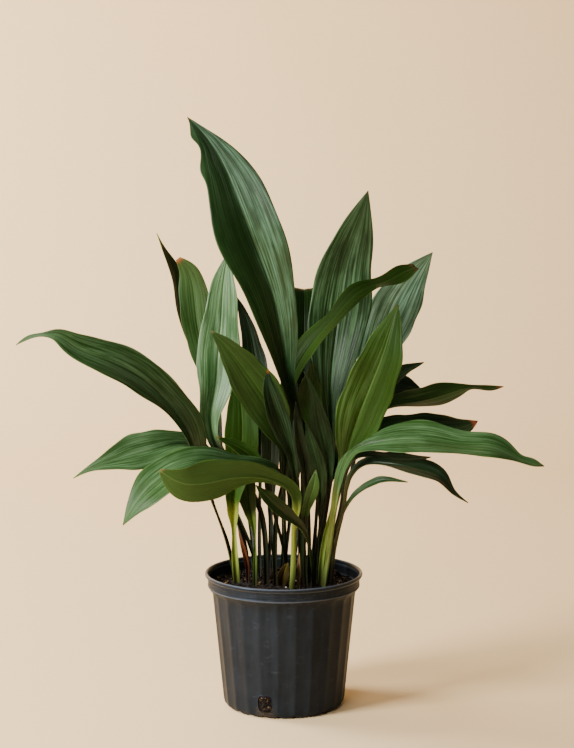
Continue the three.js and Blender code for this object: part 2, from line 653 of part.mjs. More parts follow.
// The leaf's section at a distance along its midrib: five points across its upper face and five
// across its lower one. The blade folds and waves, and the stalk is a keel under it.
function section(leaf, rib, distance) {
  const { place, along, half: reached } = rib.at(distance);
  const t = THREE.MathUtils.clamp((distance - rib.start) / (rib.end - rib.start), 0, 1);
  const half = Math.max(reached, EDGE);
  const level = around(leaf.face + 90, 1, 0);
  const side = level.addScaledVector(along, -along.dot(level)).normalize();
  const roll = THREE.MathUtils.degToRad(blend(leaf.roll, t));
  side.applyAxisAngle(along, roll);
  const up = side.clone().cross(along);
  const keelHalf = 1.02 * (EDGE + (leaf.stem - EDGE) * (1 - t) ** 1.3);
  const keelDepth = 0.5 + (KEEL * leaf.stem - 0.5) * (1 - t) ** 2.2;
  const open = THREE.MathUtils.clamp((half - leaf.stem) / (2 * leaf.stem), 0, 1);
  const fold = THREE.MathUtils.degToRad(blend(leaf.fold, t)) * open;
  const [height, waves, phase] = leaf.wave;
  const swing = t > 0 ? height * Math.min(half / 20, 1) : 0;
  const swell = (u) => leaf.lobes.reduce((sum, [facing, centre, spread, reach]) => (
    u * facing > 0 ? sum + reach * Math.exp(-(((t - centre) / spread) ** 2)) : sum
  ), 0);
  const upper = [];
  const lower = [];
  for (const u of [-1, -0.5, 0, 0.5, 1]) {
    const turn = 2 * Math.PI * (waves * t + phase) + (u < 0 ? MARGIN_SHIFT : 0);
    const ripple = t > 0 ? 1 + RIPPLE * Math.sin(2 * turn) : 1;
    const across = u * (half * ripple + swell(u));
    const rise = Math.abs(across) * Math.sin(fold) + swing * u * u * Math.sin(turn);
    const middle = place.clone().addScaledVector(side, across * Math.cos(fold)).addScaledVector(up, rise);
    const keel = keelDepth * Math.sqrt(Math.max(1 - (across / keelHalf) ** 2, 0));
    upper.push(middle.clone().addScaledVector(up, SKIN));
    lower.push(middle.clone().addScaledVector(up, -SKIN - keel));
  }
  return { upper, lower, along };
}

// The same section slid along the leaf until it lies level at a height
function levelled({ upper, lower, along }, height) {
  const slide = (point) => point.clone().addScaledVector(along, (height - point.z) / along.z);
  return { upper: upper.map(slide), lower: lower.map(slide) };
}

// A closed ribbon through sections, split into triangles alike on both faces
function ribbon(sections) {
  const rings = sections.map(({ upper, lower }) => [...upper, ...lower]);
  const columns = rings[0].length / 2;
  const size = 2 * columns;
  const triangles = [];
  const quad = (a, b, c, d) => triangles.push([a, b, c], [a, c, d]);
  for (let row = 0; row + 1 < rings.length; row += 1) {
    const a = row * size;
    const b = a + size;
    for (let j = 0; j + 1 < columns; j += 1) {
      quad(a + j, a + j + 1, b + j + 1, b + j);
      const under = [a + j, b + j + 1, a + j + 1, b + j].map((index) => index + columns);
      triangles.push([under[0], under[1], under[2]], [under[0], under[3], under[1]]);
    }
    quad(a, b, b + columns, a + columns);
    quad(b + columns - 1, a + columns - 1, a + size - 1, b + size - 1);
  }
  const end = (rings.length - 1) * size;
  for (let j = 0; j + 1 < columns; j += 1) {
    quad(j + 1, j, columns + j, columns + j + 1);
    quad(end + j, end + j + 1, end + columns + j + 1, end + columns + j);
  }
  return surface(rings.flat(), triangles);
}

// The sections of a leaf, from its foot, which is cut level on the rhizome, to its tip
function leafSections(leaf) {
  const rib = midrib(leaf);
  const blade = rib.end - rib.start;
  const stalkSteps = THREE.MathUtils.clamp(Math.round(rib.start / STALK_STEP), 1, 5);
  const bladeSteps = THREE.MathUtils.clamp(Math.round(blade / BLADE_STEP), 3, 22);
  const sections = [levelled(section(leaf, rib, 0), FOOT_HEIGHT)];
  for (let i = 1; i < stalkSteps; i += 1) {
    sections.push(section(leaf, rib, (rib.start * i) / stalkSteps));
  }
  for (let i = 0; i <= bladeSteps; i += 1) {
    sections.push(section(leaf, rib, rib.start + (blade * i) / bladeSteps));
  }
  return sections;
}

// The plain four-sided hole that a stalk stands in, through the soil's top. It follows the stalk's
// first straight, HOLE_GAP wider than it.
function stalkHole(leaf) {
  const [foot, next] = leafSections(leaf);
  const corners = ({ upper, lower }) => {
    const depth = lower[2].clone().sub(upper[2]);
    return [upper[4], upper[4].clone().add(depth), upper[0].clone().add(depth), upper[0]];
  };
  const low = corners(foot);
  const high = corners(next);
  return toSolid(loft([FOOT_HEIGHT - HOLE_OVERRUN, SOIL_TOP + HOLE_OVERRUN].map((height) => {
    const outline = low.map((corner, i) => (
      corner.clone().lerp(high[i], (height - corner.z) / (high[i].z - corner.z))
    ));
    const middle = outline.reduce((sum, corner) => sum.addScaledVector(corner, 0.25), new THREE.Vector3());
    return outline.map((corner) => {
      const outwards = corner.clone().sub(middle);
      return middle.clone().addScaledVector(outwards, 1 + HOLE_GAP / outwards.length());
    });
  })));
}

const branches = branchForms();
const plant = new THREE.Group();
plant.name = "potted_cast_iron_plant";
plant.add(piece("pot", pot(), "#323131", 0.55));
plant.add(piece("rhizome", toGeometry(rhizome(branches.body)), "#6b5a3c", 0.8));
const leaves = Object.entries(LEAVES).map(([name, leaf]) => [name, { ...PLAIN_LEAF, ...leaf }]);
const holes = leaves.map(([, leaf]) => stalkHole(leaf));
plant.add(piece("soil", soil(holes, rhizome(branches.bed)), "#1e1712", 0.95));
for (const [name, leaf] of leaves) {
  plant.add(piece(name, ribbon(leafSections(leaf)), leaf.tone, 0.4));
}

export default plant;
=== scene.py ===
import json
import math
import bpy
import numpy as np
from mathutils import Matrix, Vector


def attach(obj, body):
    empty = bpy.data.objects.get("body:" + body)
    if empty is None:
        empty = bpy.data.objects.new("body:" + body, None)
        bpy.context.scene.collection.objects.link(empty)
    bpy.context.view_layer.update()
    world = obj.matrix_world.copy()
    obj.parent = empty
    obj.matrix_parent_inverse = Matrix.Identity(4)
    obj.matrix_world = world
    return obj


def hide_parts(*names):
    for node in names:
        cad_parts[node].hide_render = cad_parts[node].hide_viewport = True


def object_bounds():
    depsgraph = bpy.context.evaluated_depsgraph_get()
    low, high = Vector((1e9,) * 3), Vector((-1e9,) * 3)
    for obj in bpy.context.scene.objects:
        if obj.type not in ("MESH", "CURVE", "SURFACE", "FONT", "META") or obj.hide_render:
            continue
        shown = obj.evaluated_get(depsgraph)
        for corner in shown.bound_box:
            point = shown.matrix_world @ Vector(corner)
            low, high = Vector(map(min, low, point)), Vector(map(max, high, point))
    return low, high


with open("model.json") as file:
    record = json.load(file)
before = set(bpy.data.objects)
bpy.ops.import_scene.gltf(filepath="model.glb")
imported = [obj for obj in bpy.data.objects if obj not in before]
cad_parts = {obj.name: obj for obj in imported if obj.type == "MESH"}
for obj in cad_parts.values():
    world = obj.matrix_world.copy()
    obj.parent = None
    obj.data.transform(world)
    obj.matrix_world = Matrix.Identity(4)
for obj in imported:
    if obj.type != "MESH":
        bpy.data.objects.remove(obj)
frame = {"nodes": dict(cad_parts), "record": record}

cad_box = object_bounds()
MM = 0.001

# The camera stands three metres in front of the pot, at the height of the tallest leaf's tip, and
# looks slightly down on the rim. The plant's front faces -Y.
CAMERA_PLACE = (0.0052, -2.953, 0.909)
CAMERA_DOWN = 7.17
CAMERA_LENS = 90.0
camera = bpy.data.objects.new("camera", bpy.data.cameras.new("camera"))
camera.data.lens = CAMERA_LENS
camera.data.sensor_width = 36.0
camera.data.dof.use_dof = False
camera.location = CAMERA_PLACE
camera.rotation_euler = (math.radians(90.0 - CAMERA_DOWN), 0.0, 0.0)
bpy.context.collection.objects.link(camera)
bpy.context.scene.camera = camera


# The studio is a pale warm paper sweep: a floor that bends up into a wall behind the plant, clear
# when seen from behind. It is lit by soft windows on the left and in front, by a wash on the wall
# and by a little light all round.
FLOOR_FRONT = -4.0
FLOOR_BACK = 2.2
BEND = 1.4
WALL_TOP = 5.0
SWEEP_HALF = 6.0
BEND_STEPS = 24
PAPER = "#eecf9f"
DAYLIGHT = (1.0, 0.98, 0.96)
WASH_LIGHT = (1.0, 0.97, 0.93)
AIR_LIGHT = (1.0, 0.96, 0.91, 1.0)
AIR_STRENGTH = 0.1


def hex_paint(text):
    """A colour given as sRGB hex, turned to the linear values that a shader takes."""
    parts = np.array([int(text[i:i + 2], 16) / 255.0 for i in (1, 3, 5)])
    linear = np.where(parts <= 0.04045, parts / 12.92, ((parts + 0.055) / 1.055) ** 2.4)
    return (*linear.tolist(), 1.0)


class Value:
    """A shader socket that can be added, subtracted and multiplied like a number."""

    def __init__(self, socket):
        self.socket = socket
        self.tree = socket.id_data

    def __add__(self, other):
        return calc("ADD", self, other)

    def __sub__(self, other):
        return calc("SUBTRACT", self, other)

    def __rsub__(self, other):
        return calc("SUBTRACT", other, self)

    def __mul__(self, other):
        return calc("MULTIPLY", self, other)

    def __abs__(self):
        return calc("ABSOLUTE", self)


def wire(socket, value):
    """Links a socket to a value, or sets it to a number, a place or a colour given as hex."""
    if isinstance(value, Value):
        socket.id_data.links.new(value.socket, socket)
    else:
        socket.default_value = hex_paint(value) if isinstance(value, str) else value


def wired(node, terms, output=0):
    """Wires a node's inputs, given by name or by number, and gives one of its outputs."""
    for socket, term in terms.items():
        wire(node.inputs[socket], term)
    return Value(node.outputs[output])


def calc(operation, *terms):
    """The result of one arithmetic step on values and numbers."""
    tree = next(term.tree for term in terms if isinstance(term, Value))
    node = tree.nodes.new("ShaderNodeMath")
    node.operation = operation
    return wired(node, dict(enumerate(terms)))


def mixed(share, first, second):
    """The colour that lies a share of the way from the first to the second. The Mix node's sockets
    for colours are 6, 7 and 2."""
    node = share.tree.nodes.new("ShaderNodeMix")
    node.data_type = "RGBA"
    return wired(node, {0: share, 6: first, 7: second}, 2)


def ramp(value, low, high, start=0.0, end=1.0):
    """Goes smoothly from start to end while the value goes from low to high."""
    node = value.tree.nodes.new("ShaderNodeMapRange")
    node.interpolation_type = "SMOOTHSTEP"
    return wired(node, dict(enumerate((value, low, high, start, end))))


def noise(place, scale, detail=3.0, rough=0.5):
    """A seamless random value from 0 to 1, with features of one over scale."""
    node = place.tree.nodes.new("ShaderNodeTexNoise")
    return wired(node, {"Vector": place, "Scale": scale, "Detail": detail, "Roughness": rough})


def parted(vector):
    """The three parts of a vector."""
    node = vector.tree.nodes.new("ShaderNodeSeparateXYZ")
    wire(node.inputs[0], vector)
    return [Value(part) for part in node.outputs]


def object_place(tree):
    """The object's own coordinates, in metres."""
    return Value(tree.nodes.new("ShaderNodeTexCoord").outputs["Object"])


def stored(tree, name, kind):
    """What the mesh stores under a name at each point, as Vector or as Fac."""
    node = tree.nodes.new("ShaderNodeAttribute")
    node.attribute_name = name
    return Value(node.outputs[kind])


def bumped(height, strength, distance):
    """A surface normal tilted by a height pattern of that distance in metres."""
    node = height.tree.nodes.new("ShaderNodeBump")
    return wired(node, {"Strength": strength, "Distance": distance, "Height": height})


def new_material(name):
    """A Principled material: itself, its node tree and its shader."""
    material = bpy.data.materials.new(name)
    material.use_nodes = True
    return material, material.node_tree, material.node_tree.nodes["Principled BSDF"]


def grid_faces(rows, columns, closed):
    """The four-sided faces between the points of a grid, joined round its columns if closed."""
    across = np.arange(columns if closed else columns - 1)[None, :]
    first = np.arange(rows - 1)[:, None] * columns
    a = first + across
    b = first + (across + 1) % columns
    return np.stack([a, b, b + columns, a + columns], axis=-1).reshape(-1, 4)


def make_piece(name, points, faces, material, smooth=True):
    """A mesh object at the origin from an array of points and arrays of faces."""
    mesh = bpy.data.meshes.new(name)
    corners = [tuple(face) for block in faces for face in np.asarray(block).tolist()]
    mesh.from_pydata(np.asarray(points, float).reshape(-1, 3).tolist(), [], corners)
    mesh.polygons.foreach_set("use_smooth", np.full(len(mesh.polygons), smooth))
    mesh.materials.append(material)
    mesh.update()
    piece = bpy.data.objects.new(name, mesh)
    bpy.context.collection.objects.link(piece)
    return piece


def sweep_surface():
    """The sweep: a profile of flat floor, quarter circle and upright wall, drawn across."""
    turn = np.linspace(0.0, math.pi / 2, BEND_STEPS)
    y = np.concatenate([[FLOOR_FRONT], FLOOR_BACK + BEND * np.sin(turn), [FLOOR_BACK + BEND]])
    z = np.concatenate([[0.0], BEND * (1.0 - np.cos(turn)), [WALL_TOP]])
    x = np.array([-SWEEP_HALF, SWEEP_HALF])
    return np.stack(np.broadcast_arrays(x[None, :], y[:, None], z[:, None]), axis=-1)


paper, paper_tree, paper_shader = new_material("studio_paper")
shown = wired(paper_shader, {"Base Color": PAPER, "Roughness": 0.9, "Specular IOR Level": 0.2})
clear = Value(paper_tree.nodes.new("ShaderNodeBsdfTransparent").outputs[0])
behind = Value(paper_tree.nodes.new("ShaderNodeNewGeometry").outputs["Backfacing"])
either = wired(paper_tree.nodes.new("ShaderNodeMixShader"), {0: behind, 1: shown, 2: clear})
wire(paper_tree.nodes["Material Output"].inputs["Surface"], either)
sweep_points = sweep_surface()
sweep = make_piece("studio_sweep", sweep_points, [grid_faces(len(sweep_points), 2, False)], paper)


def soft_light(name, place, target, size, power, color):
    """A square soft light at a place, turned to face a target."""
    lamp = bpy.data.lights.new(name, "AREA")
    lamp.size = size
    lamp.energy = power
    lamp.color = color
    light = bpy.data.objects.new(name, lamp)
    light.location = place
    x, y, z = np.array(target) - np.array(place)
    light.rotation_euler = (math.atan2(math.hypot(x, y), -z), 0.0, math.atan2(-x, y))
    bpy.context.collection.objects.link(light)
    return light


soft_light("window_left", (-2.9, -1.9, 1.7), (0.0, 0.0, 0.4), 1.2, 330.0, DAYLIGHT)
soft_light("window_front", (-1.4, -3.9, 3.0), (0.0, 0.0, 0.5), 2.0, 90.0, DAYLIGHT)
wash = soft_light("wall_wash", (-3.2, 1.2, 3.4), (-0.6, 3.4, 0.9), 2.0, 400.0, WASH_LIGHT)
wash.visible_glossy = False
world = bpy.data.worlds.new("studio_air")
world.use_nodes = True
world.node_tree.nodes["Background"].inputs["Color"].default_value = AIR_LIGHT
world.node_tree.nodes["Background"].inputs["Strength"].default_value = AIR_STRENGTH
bpy.context.scene.world = world


# The pot is one shell of moulded charcoal plastic, 254 mm across its rolled lip. Its wall has 24
# slightly hollow panels that stop under a plain band, its foot is scalloped, and three drain holes
# are cut low in the wall. The plastic is scuffed, and dusty round the front hole.
BAND_FOOT = (122.2 * MM, 195 * MM)
PANEL_TOP = (115.8 * MM, 185 * MM)
PANEL_FOOT = (98.8 * MM, 13 * MM)
HEEL = (97 * MM, 5 * MM)
TOE_RADIUS = 92.8 * MM
STANDING_RADIUS = 84 * MM
WALL = 2.2 * MM
POT_FLOOR = 2.8 * MM
FLOOR_RADIUS = 91.6 * MM
PANELS = 24
PANEL_SEAM = math.radians(-5.0)
PANEL_STEPS = 14
FLUTE_DEPTH = 0.8 * MM
ARRIS = 0.25 * MM
ARRIS_FROM = 0.86
SCALLOP = 5 * MM
DRAINS = 3
DRAIN_ANGLE = math.radians(-18.0)
DRAIN_WIDTH = 22.7 * MM
DRAIN_SPAN = (11 * MM, 38 * MM)
DRAIN_ROUNDING = 3.6
DRAIN_REACH = 1.9
WALL_ROWS = np.array([*range(8, 45, 3), *range(50, 186, 9)]) * MM
# The band and the lip, up outside and down inside: radius and height in millimetres, and how much
# of the panels' fluting still shows.
LIP_PROFILE = (
    (119.6, 190.0, 0.6), (121.8, 194.1, 0.05), (122.3, 194.8, 0.0), (122.6, 195.8, 0.0),
    (122.5, 196.7, 0.0), (121.8, 197.5, 0.0), (121.9, 200.0, 0.0), (122.3, 200.7, 0.0),
    (122.0, 201.4, 0.0), (122.0, 204.2, 0.0), (122.4, 204.9, 0.0), (122.1, 205.7, 0.0),
    (122.3, 208.2, 0.0), (122.8, 209.4, 0.0), (124.6, 210.3, 0.0), (126.0, 211.1, 0.0),
    (126.8, 212.4, 0.0), (127.0, 213.9, 0.0), (126.8, 215.2, 0.0), (126.2, 216.3, 0.0),
    (125.3, 216.9, 0.0), (124.4, 217.0, 0.0), (123.4, 216.6, 0.0), (122.5, 215.6, 0.0),
    (121.7, 213.6, 0.0), (120.6, 210.5, 0.0), (120.1, 204.0, 0.0), (120.0, 195.0, 0.0),
    (117.4, 190.0, 0.6),
)
DUST_PLACE = (-0.0300, -0.0935, 0.0090)
DUST_REACH = (0.027, 0.012)
BAND_FROM = (0.192, 0.197)
LIP_POLISH = (0.2085, 0.2125)
# Pale lines painted along the lip's edges and the band's ridge as highlights: lowest and highest
# point in metres, and how pale.
PAINTED_EDGE_HIGHLIGHTS = ((0.1935, 0.1972, 0.75), (0.2085, 0.2125, 0.55), (0.2148, 0.2176, 0.8))
PLASTIC = ("#16181b", "#1f2226")
FLOW_PAINT = "#262c34"
SCUFF_PAINT = "#3a3e44"
BAND_PAINT = "#2c3138"
# The pale grey of the painted highlights on the lip and the band.
EDGE_HIGHLIGHT_PAINT = "#50565e"
DUST_PAINT = "#7a6448"
COOL_GLOSS = "#b8d6ff"


def panel_turns():
    """Angles round the pot from its front, with PANEL_STEPS to each panel."""
    return PANEL_SEAM + np.arange(PANELS * PANEL_STEPS) * (2 * math.pi / (PANELS * PANEL_STEPS))


def pot_points(turn, radius, height, fluting, scallop):
    """Points of the pot at angles from its front. Where it is fluted, the radius is drawn in to
    the panel's chord, a shallow hollow deeper, and rounded at the arris between two panels. Where
    it is scalloped, the height rises towards each seam."""
    half = math.pi / PANELS
    local = (turn - PANEL_SEAM) % (2 * half) - half
    share = np.abs(local) / half
    chord = math.cos(half) / np.cos(local)
    arris = np.clip((share - ARRIS_FROM) / (1.0 - ARRIS_FROM), 0.0, 1.0) ** 2
    drawn = FLUTE_DEPTH * (1.0 - share ** 2) + ARRIS * arris
    reach = radius * (1.0 + fluting * (chord - 1.0)) - fluting * drawn
    lifted = height + scallop * share ** 3
    return np.stack([reach * np.sin(turn), -reach * np.cos(turn), lifted], axis=-1)


def wall_radius(height):
    """The outside of the wall: heel, panels and bevel, straight between their given heights."""
    heights = [HEEL[1], PANEL_FOOT[1], PANEL_TOP[1], BAND_FOOT[1]]
    return np.interp(height, heights, [HEEL[0], PANEL_FOOT[0], PANEL_TOP[0], BAND_FOOT[0]])


def ring_faces(count, columns, pole, first):
    """Triangles that close the first or last ring of a grid with its pole."""
    ring = np.arange(columns)
    after = (ring + 1) % columns
    if first:
        return np.stack([after, ring, np.full(columns, pole)], axis=-1)
    start = (count - 1) * columns
    return np.stack([start + ring, start + after, np.full(columns, pole)], axis=-1)


def closed(points, low, high):
    """A body turned from a grid of points, each row a ring, closed at its first and last ring by a
    pole on the pot's axis: its points, and the triangles of its two ends."""
    count, columns = points.shape[:2]
    first = count * columns
    points = np.concatenate([points.reshape(-1, 3), [[0.0, 0.0, low], [0.0, 0.0, high]]])
    ends = [ring_faces(count, columns, first, True), ring_faces(count, columns, first + 1, False)]
    return points, ends


def shell_path():
    """The shell's rings as radius, height, fluting and scallop, out across the underside, up the
    wall, over the lip, down the inside and in across the floor, with the numbers of the rings that
    make the wall's outer and inner face."""
    foot = [
        (0.5 * STANDING_RADIUS, 0.0, 0.0, 0.0), (STANDING_RADIUS, 0.0, 0.0, 0.0),
        (TOE_RADIUS - 1.5 * MM, 0.0, 1.0, 0.9 * SCALLOP),
        (TOE_RADIUS + 0.5 * MM, 0.35 * MM, 1.0, SCALLOP),
        (TOE_RADIUS + 2.6 * MM, 2.2 * MM, 1.0, 0.5 * SCALLOP), (*HEEL, 1.0, 0.1 * SCALLOP),
    ]
    outside = [(wall_radius(z), z, 1.0, 0.0) for z in WALL_ROWS]
    lip = [(r * MM, z * MM, fluting, 0.0) for r, z, fluting in LIP_PROFILE]
    inside = [(wall_radius(z) - WALL, z, 1.0, 0.0) for z in WALL_ROWS[::-1]]
    ground = [
        (FLOOR_RADIUS + 2.4 * MM, 5.0 * MM, 1.0, 0.0), (FLOOR_RADIUS, POT_FLOOR, 1.0, 0.0),
        (0.5 * FLOOR_RADIUS, POT_FLOOR, 0.0, 0.0),
    ]
    outer = len(foot) + np.arange(len(WALL_ROWS))
    inner = outer[-1] + 1 + len(lip) + np.arange(len(WALL_ROWS))
    return np.array([*foot, *outside, *lip, *inside, *ground]), outer, inner


def pot_shell():
    """The shell's points and faces. Round each drain hole the grid is drawn on to a rounded outline,
    its cells are left out of both faces of the wall, and the two edges are joined."""
    path, outer, inner = shell_path()
    turns = panel_turns()
    shape = (len(path), len(turns))
    turn = np.broadcast_to(turns, shape).copy()
    radius, height, fluting, scallop = (
        np.broadcast_to(path[:, k:k + 1], shape).copy() for k in range(4)
    )
    kept = np.ones((len(path) - 1, len(turns)), bool)
    middle = 0.5 * sum(DRAIN_SPAN)
    tall = 0.5 * (DRAIN_SPAN[1] - DRAIN_SPAN[0])
    wide = 0.5 * DRAIN_WIDTH / wall_radius(middle)
    step = turns[1] - turns[0]
    bottom = int(np.argmin(np.abs(WALL_ROWS - DRAIN_SPAN[0])))
    top = int(np.argmin(np.abs(WALL_ROWS - DRAIN_SPAN[1])))
    edges = []
    for k in range(DRAINS):
        centre = DRAIN_ANGLE + k * 2 * math.pi / DRAINS
        left = int(round((centre - wide - turns[0]) / step))
        right = int(round((centre + wide - turns[0]) / step))
        half_columns = 0.5 * (right - left)
        column = (np.arange(len(turns)) - 0.5 * (left + right) + 0.5 * len(turns)) % len(turns)
        a = ((column - 0.5 * len(turns)) / half_columns)[None, :]
        for rows in (outer, inner):
            b = (height[rows] - middle) / tall
            reach = np.maximum(np.abs(a), np.abs(b))
            outline = np.abs(a) ** DRAIN_ROUNDING + np.abs(b) ** DRAIN_ROUNDING
            outline = outline ** (1 / DRAIN_ROUNDING)
            squeeze = np.where(reach > 0, reach / np.maximum(outline, 1e-9), 1.0)
            pull = np.clip((DRAIN_REACH - reach) / (DRAIN_REACH - 1.0), 0.0, 1.0)
            pull = pull * pull * (3 - 2 * pull)
            moved = turn[rows] + pull * (a * squeeze * wide - a * half_columns * step)
            turn[rows] = np.where(pull > 0, moved, turn[rows])
            height[rows] = height[rows] + pull * (squeeze - 1.0) * b * tall
        across = np.arange(left, right + 1) % len(turns)
        kept[np.ix_(outer[bottom:top], across[:-1])] = False
        kept[np.ix_(inner[::-1][bottom + 1:top + 1], across[:-1])] = False
        column_loop = np.concatenate([
            across[:-1], np.full(top - bottom, across[-1]),
            across[:0:-1], np.full(top - bottom, across[0]),
        ])
        rise = np.arange(bottom, top)
        row_loop = np.concatenate([
            np.full(right - left, bottom), rise, np.full(right - left, top), rise[::-1] + 1,
        ])
        front = outer[row_loop] * len(turns) + column_loop
        back = inner[::-1][row_loop] * len(turns) + column_loop
        edges.append(np.stack([front, back, np.roll(back, -1), np.roll(front, -1)], axis=-1))
    radius[outer] = wall_radius(height[outer])
    radius[inner] = wall_radius(height[inner]) - WALL
    points, ends = closed(pot_points(turn, radius, height, fluting, scallop), 0.0, POT_FLOOR)
    cells = grid_faces(len(path), len(turns), True)[kept.reshape(-1)]
    return points, [cells, *edges, *ends]


def stretched(place, along_z):
    """The place with its height multiplied, so that a pattern on it is drawn out or flattened."""
    node = place.tree.nodes.new("ShaderNodeMapping")
    return wired(node, {"Vector": place, "Scale": (1.0, 1.0, along_z)})


def plastic_material():
    """Charcoal plastic: faint upright flow streaks, specks and scuffs, pale lines painted along the
    lip's edges and the band's ridge as highlights, and round the front drain hole a little tan dust
    from the mix."""
    material, tree, shader = new_material("charcoal_plastic")
    place = object_place(tree)
    z = parted(place)[2]
    flow = noise(stretched(place, 0.08), 120.0, 2.0)
    level = noise(stretched(place, 14.0), 30.0, 3.0, 0.6)
    cloud = noise(place, 14.0, 4.0, 0.6)
    speck = noise(place, 420.0, 2.0)
    scuff = ramp(noise(stretched(place, 2.2), 55.0, 6.0, 0.72), 0.57, 0.7)
    base = mixed(ramp(cloud, 0.3, 0.7), *PLASTIC)
    base = mixed(ramp(flow, 0.35, 0.75) * 0.3, base, FLOW_PAINT)
    base = mixed(scuff * 0.35, base, SCUFF_PAINT)
    base = mixed(ramp(level, 0.5, 0.7) * ramp(z, *BAND_FROM) * 0.5, base, BAND_PAINT)
    # Painted highlights: pale lines along the band's ridge and the lip's edges, where the plastic
    # catches the light.
    for low, high, share in PAINTED_EDGE_HIGHLIGHTS:
        middle = 0.5 * (low + high)
        base = mixed(ramp(z, low, middle) * ramp(z, high, middle) * share, base, EDGE_HIGHLIGHT_PAINT)
    away = tree.nodes.new("ShaderNodeVectorMath")
    away.operation = "DISTANCE"
    dust = ramp(wired(away, {0: place, 1: DUST_PLACE}, "Value") + cloud * 0.012, *DUST_REACH)
    grains = ramp(noise(place, 700.0, 3.0, 0.7), 0.45, 0.62)
    rough = ramp(cloud, 0.2, 0.8, 0.42, 0.54) + scuff * 0.12 - ramp(z, *LIP_POLISH, 0.0, 0.16)
    wired(shader, {
        "Base Color": mixed(dust * grains * 0.3, base, DUST_PAINT), "Roughness": rough,
        "Specular IOR Level": 0.12, "Specular Tint": COOL_GLOSS,
        "Normal": bumped(speck + scuff, 0.3, 0.0003),
    })
    return material


pot = make_piece("nursery_pot", *pot_shell(), plastic_material())
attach(pot, "root")
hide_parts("pot")


# The potting mix fills the pot to about 20 mm below the rim. It is dark peat and bark with a
# loose, crumbly top, and it shows again behind the drain holes.
SOIL_TOP = 196 * MM
SOIL_SWELL = 1.6 * MM
SWELL_X = 17 * MM
SWELL_Y = 13 * MM
SOIL_GAP = 0.3 * MM
BRIM_HEIGHT = 195 * MM
SIDE_ROWS = np.array([3.4, 8, 13, 20, 30, 45, 70, 100, 130, 160, 185, 190]) * MM
TOP_ROWS = np.linspace(0.985, 0.03, 52)
WAVES = 40
WAVE_LENGTHS = (3.0, 22.0)
RELIEF = 0.28 * MM
SOIL_SEED = 4
rng = np.random.default_rng(SOIL_SEED)
wave_length = rng.uniform(*WAVE_LENGTHS, WAVES) * MM
wave_angle = rng.uniform(0.0, 2 * math.pi, WAVES)
wave_phase = rng.uniform(0.0, 2 * math.pi, WAVES)


def crumble(x, y):
    """Relief of the loose mix in metres: many plane waves of mixed length and direction, each as
    high as it is long to the power 0.7."""
    along = x[..., None] * np.cos(wave_angle) + y[..., None] * np.sin(wave_angle)
    height = (wave_length / (WAVE_LENGTHS[1] * MM)) ** 0.7
    total = (height * np.sin(2 * math.pi * along / wave_length + wave_phase)).sum(axis=-1)
    return RELIEF * total


def soil_height(x, y):
    """The top of the mix: two crossed swells and the crumbs' relief."""
    swell = SOIL_SWELL * np.sin(x / SWELL_X) * np.cos(y / SWELL_Y)
    return SOIL_TOP - 0.5 * MM + swell + crumble(x, y)


def soil_body():
    """The mix: rings in across the pot's floor, up its inside and in over the top to the middle."""
    side_radius = wall_radius(SIDE_ROWS) - WALL - SOIL_GAP
    side_radius[0] = FLOOR_RADIUS - 2 * SOIL_GAP
    brim = wall_radius(BRIM_HEIGHT) - WALL - 2 * SOIL_GAP
    sides = [(0.5 * FLOOR_RADIUS, POT_FLOOR + SOIL_GAP, 0.0)]
    sides += [(r, z, 1.0) for r, z in zip(side_radius, SIDE_ROWS)]
    path = np.array([*sides, *((brim * share, BRIM_HEIGHT, 0.0) for share in TOP_ROWS)])
    turns = panel_turns()
    shape = (len(path), len(turns))
    turn = np.broadcast_to(turns, shape)
    radius, height, fluting = (np.broadcast_to(path[:, k:k + 1], shape) for k in range(3))
    points = pot_points(turn, radius, height, fluting, np.zeros(shape))
    top = points[len(sides):]
    top[..., 2] = np.minimum(soil_height(top[..., 0], top[..., 1]), SOIL_TOP + 4 * MM)
    middle = float(soil_height(np.zeros(1), np.zeros(1))[0])
    points, ends = closed(points, POT_FLOOR + SOIL_GAP, middle)
    return points, [grid_faces(len(path), len(turns), True), *ends]


def mix_material(name, dark, light, size):
    """A crumbly earth colour that wanders from dark to light over grains of one over size."""
    material, tree, shader = new_material(name)
    place = object_place(tree)
    grain = noise(place, size, 6.0, 0.7)
    fine = noise(place, 4 * size, 3.0, 0.6)
    wired(shader, {
        "Base Color": mixed(ramp(grain, 0.35, 0.7), dark, light), "Roughness": 0.95,
        "Normal": bumped(grain + fine, 0.8, 0.0015),
    })
    return material


soil = make_piece("potting_mix", *soil_body(), mix_material("dark_mix", "#060403", "#1c110b", 260.0))
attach(soil, "root")
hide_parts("soil")


# The rhizome creeps in the mix under the stalks and carries them. It is hidden, so the solid stays
# as it is, in pale brown bark.
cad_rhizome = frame["nodes"]["rhizome"]
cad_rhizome.data.materials.clear()
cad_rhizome.data.materials.append(mix_material("rhizome_bark", "#4a3826", "#8a7250", 180.0))


# The leaves grow from the rhizome, each in one piece from the foot of its stalk to its tip. The
# blade is a thin leathery ribbon with parallel veins that folds up from its midrib. The stalk is
# half round, hollowed along its front, and runs on under the blade as a keel.
FOOT_HEIGHT = 174 * MM
SKIN = 0.35 * MM
EDGE = 0.6 * MM
KEEL = 1.25
KEEL_LEAST = 0.5 * MM
KEEL_SPREAD = 1.02
KEEL_NARROWS = 1.3
KEEL_THINS = 2.2
RIPPLE = 0.03
WAVY_FROM = 20 * MM
PLEATED_FROM = 25 * MM
MARGIN_SHIFT = 1.9
COLUMNS = 45
CROWDING = 1.3
BLADE_STEP = 5.5 * MM
STALK_STEP = 9 * MM
PLEATS = ((2.6, 0.5), (5.7, 0.32), (9.5, 0.18))
PLEAT_DEPTH = 0.34 * MM
GROOVE = 0.45


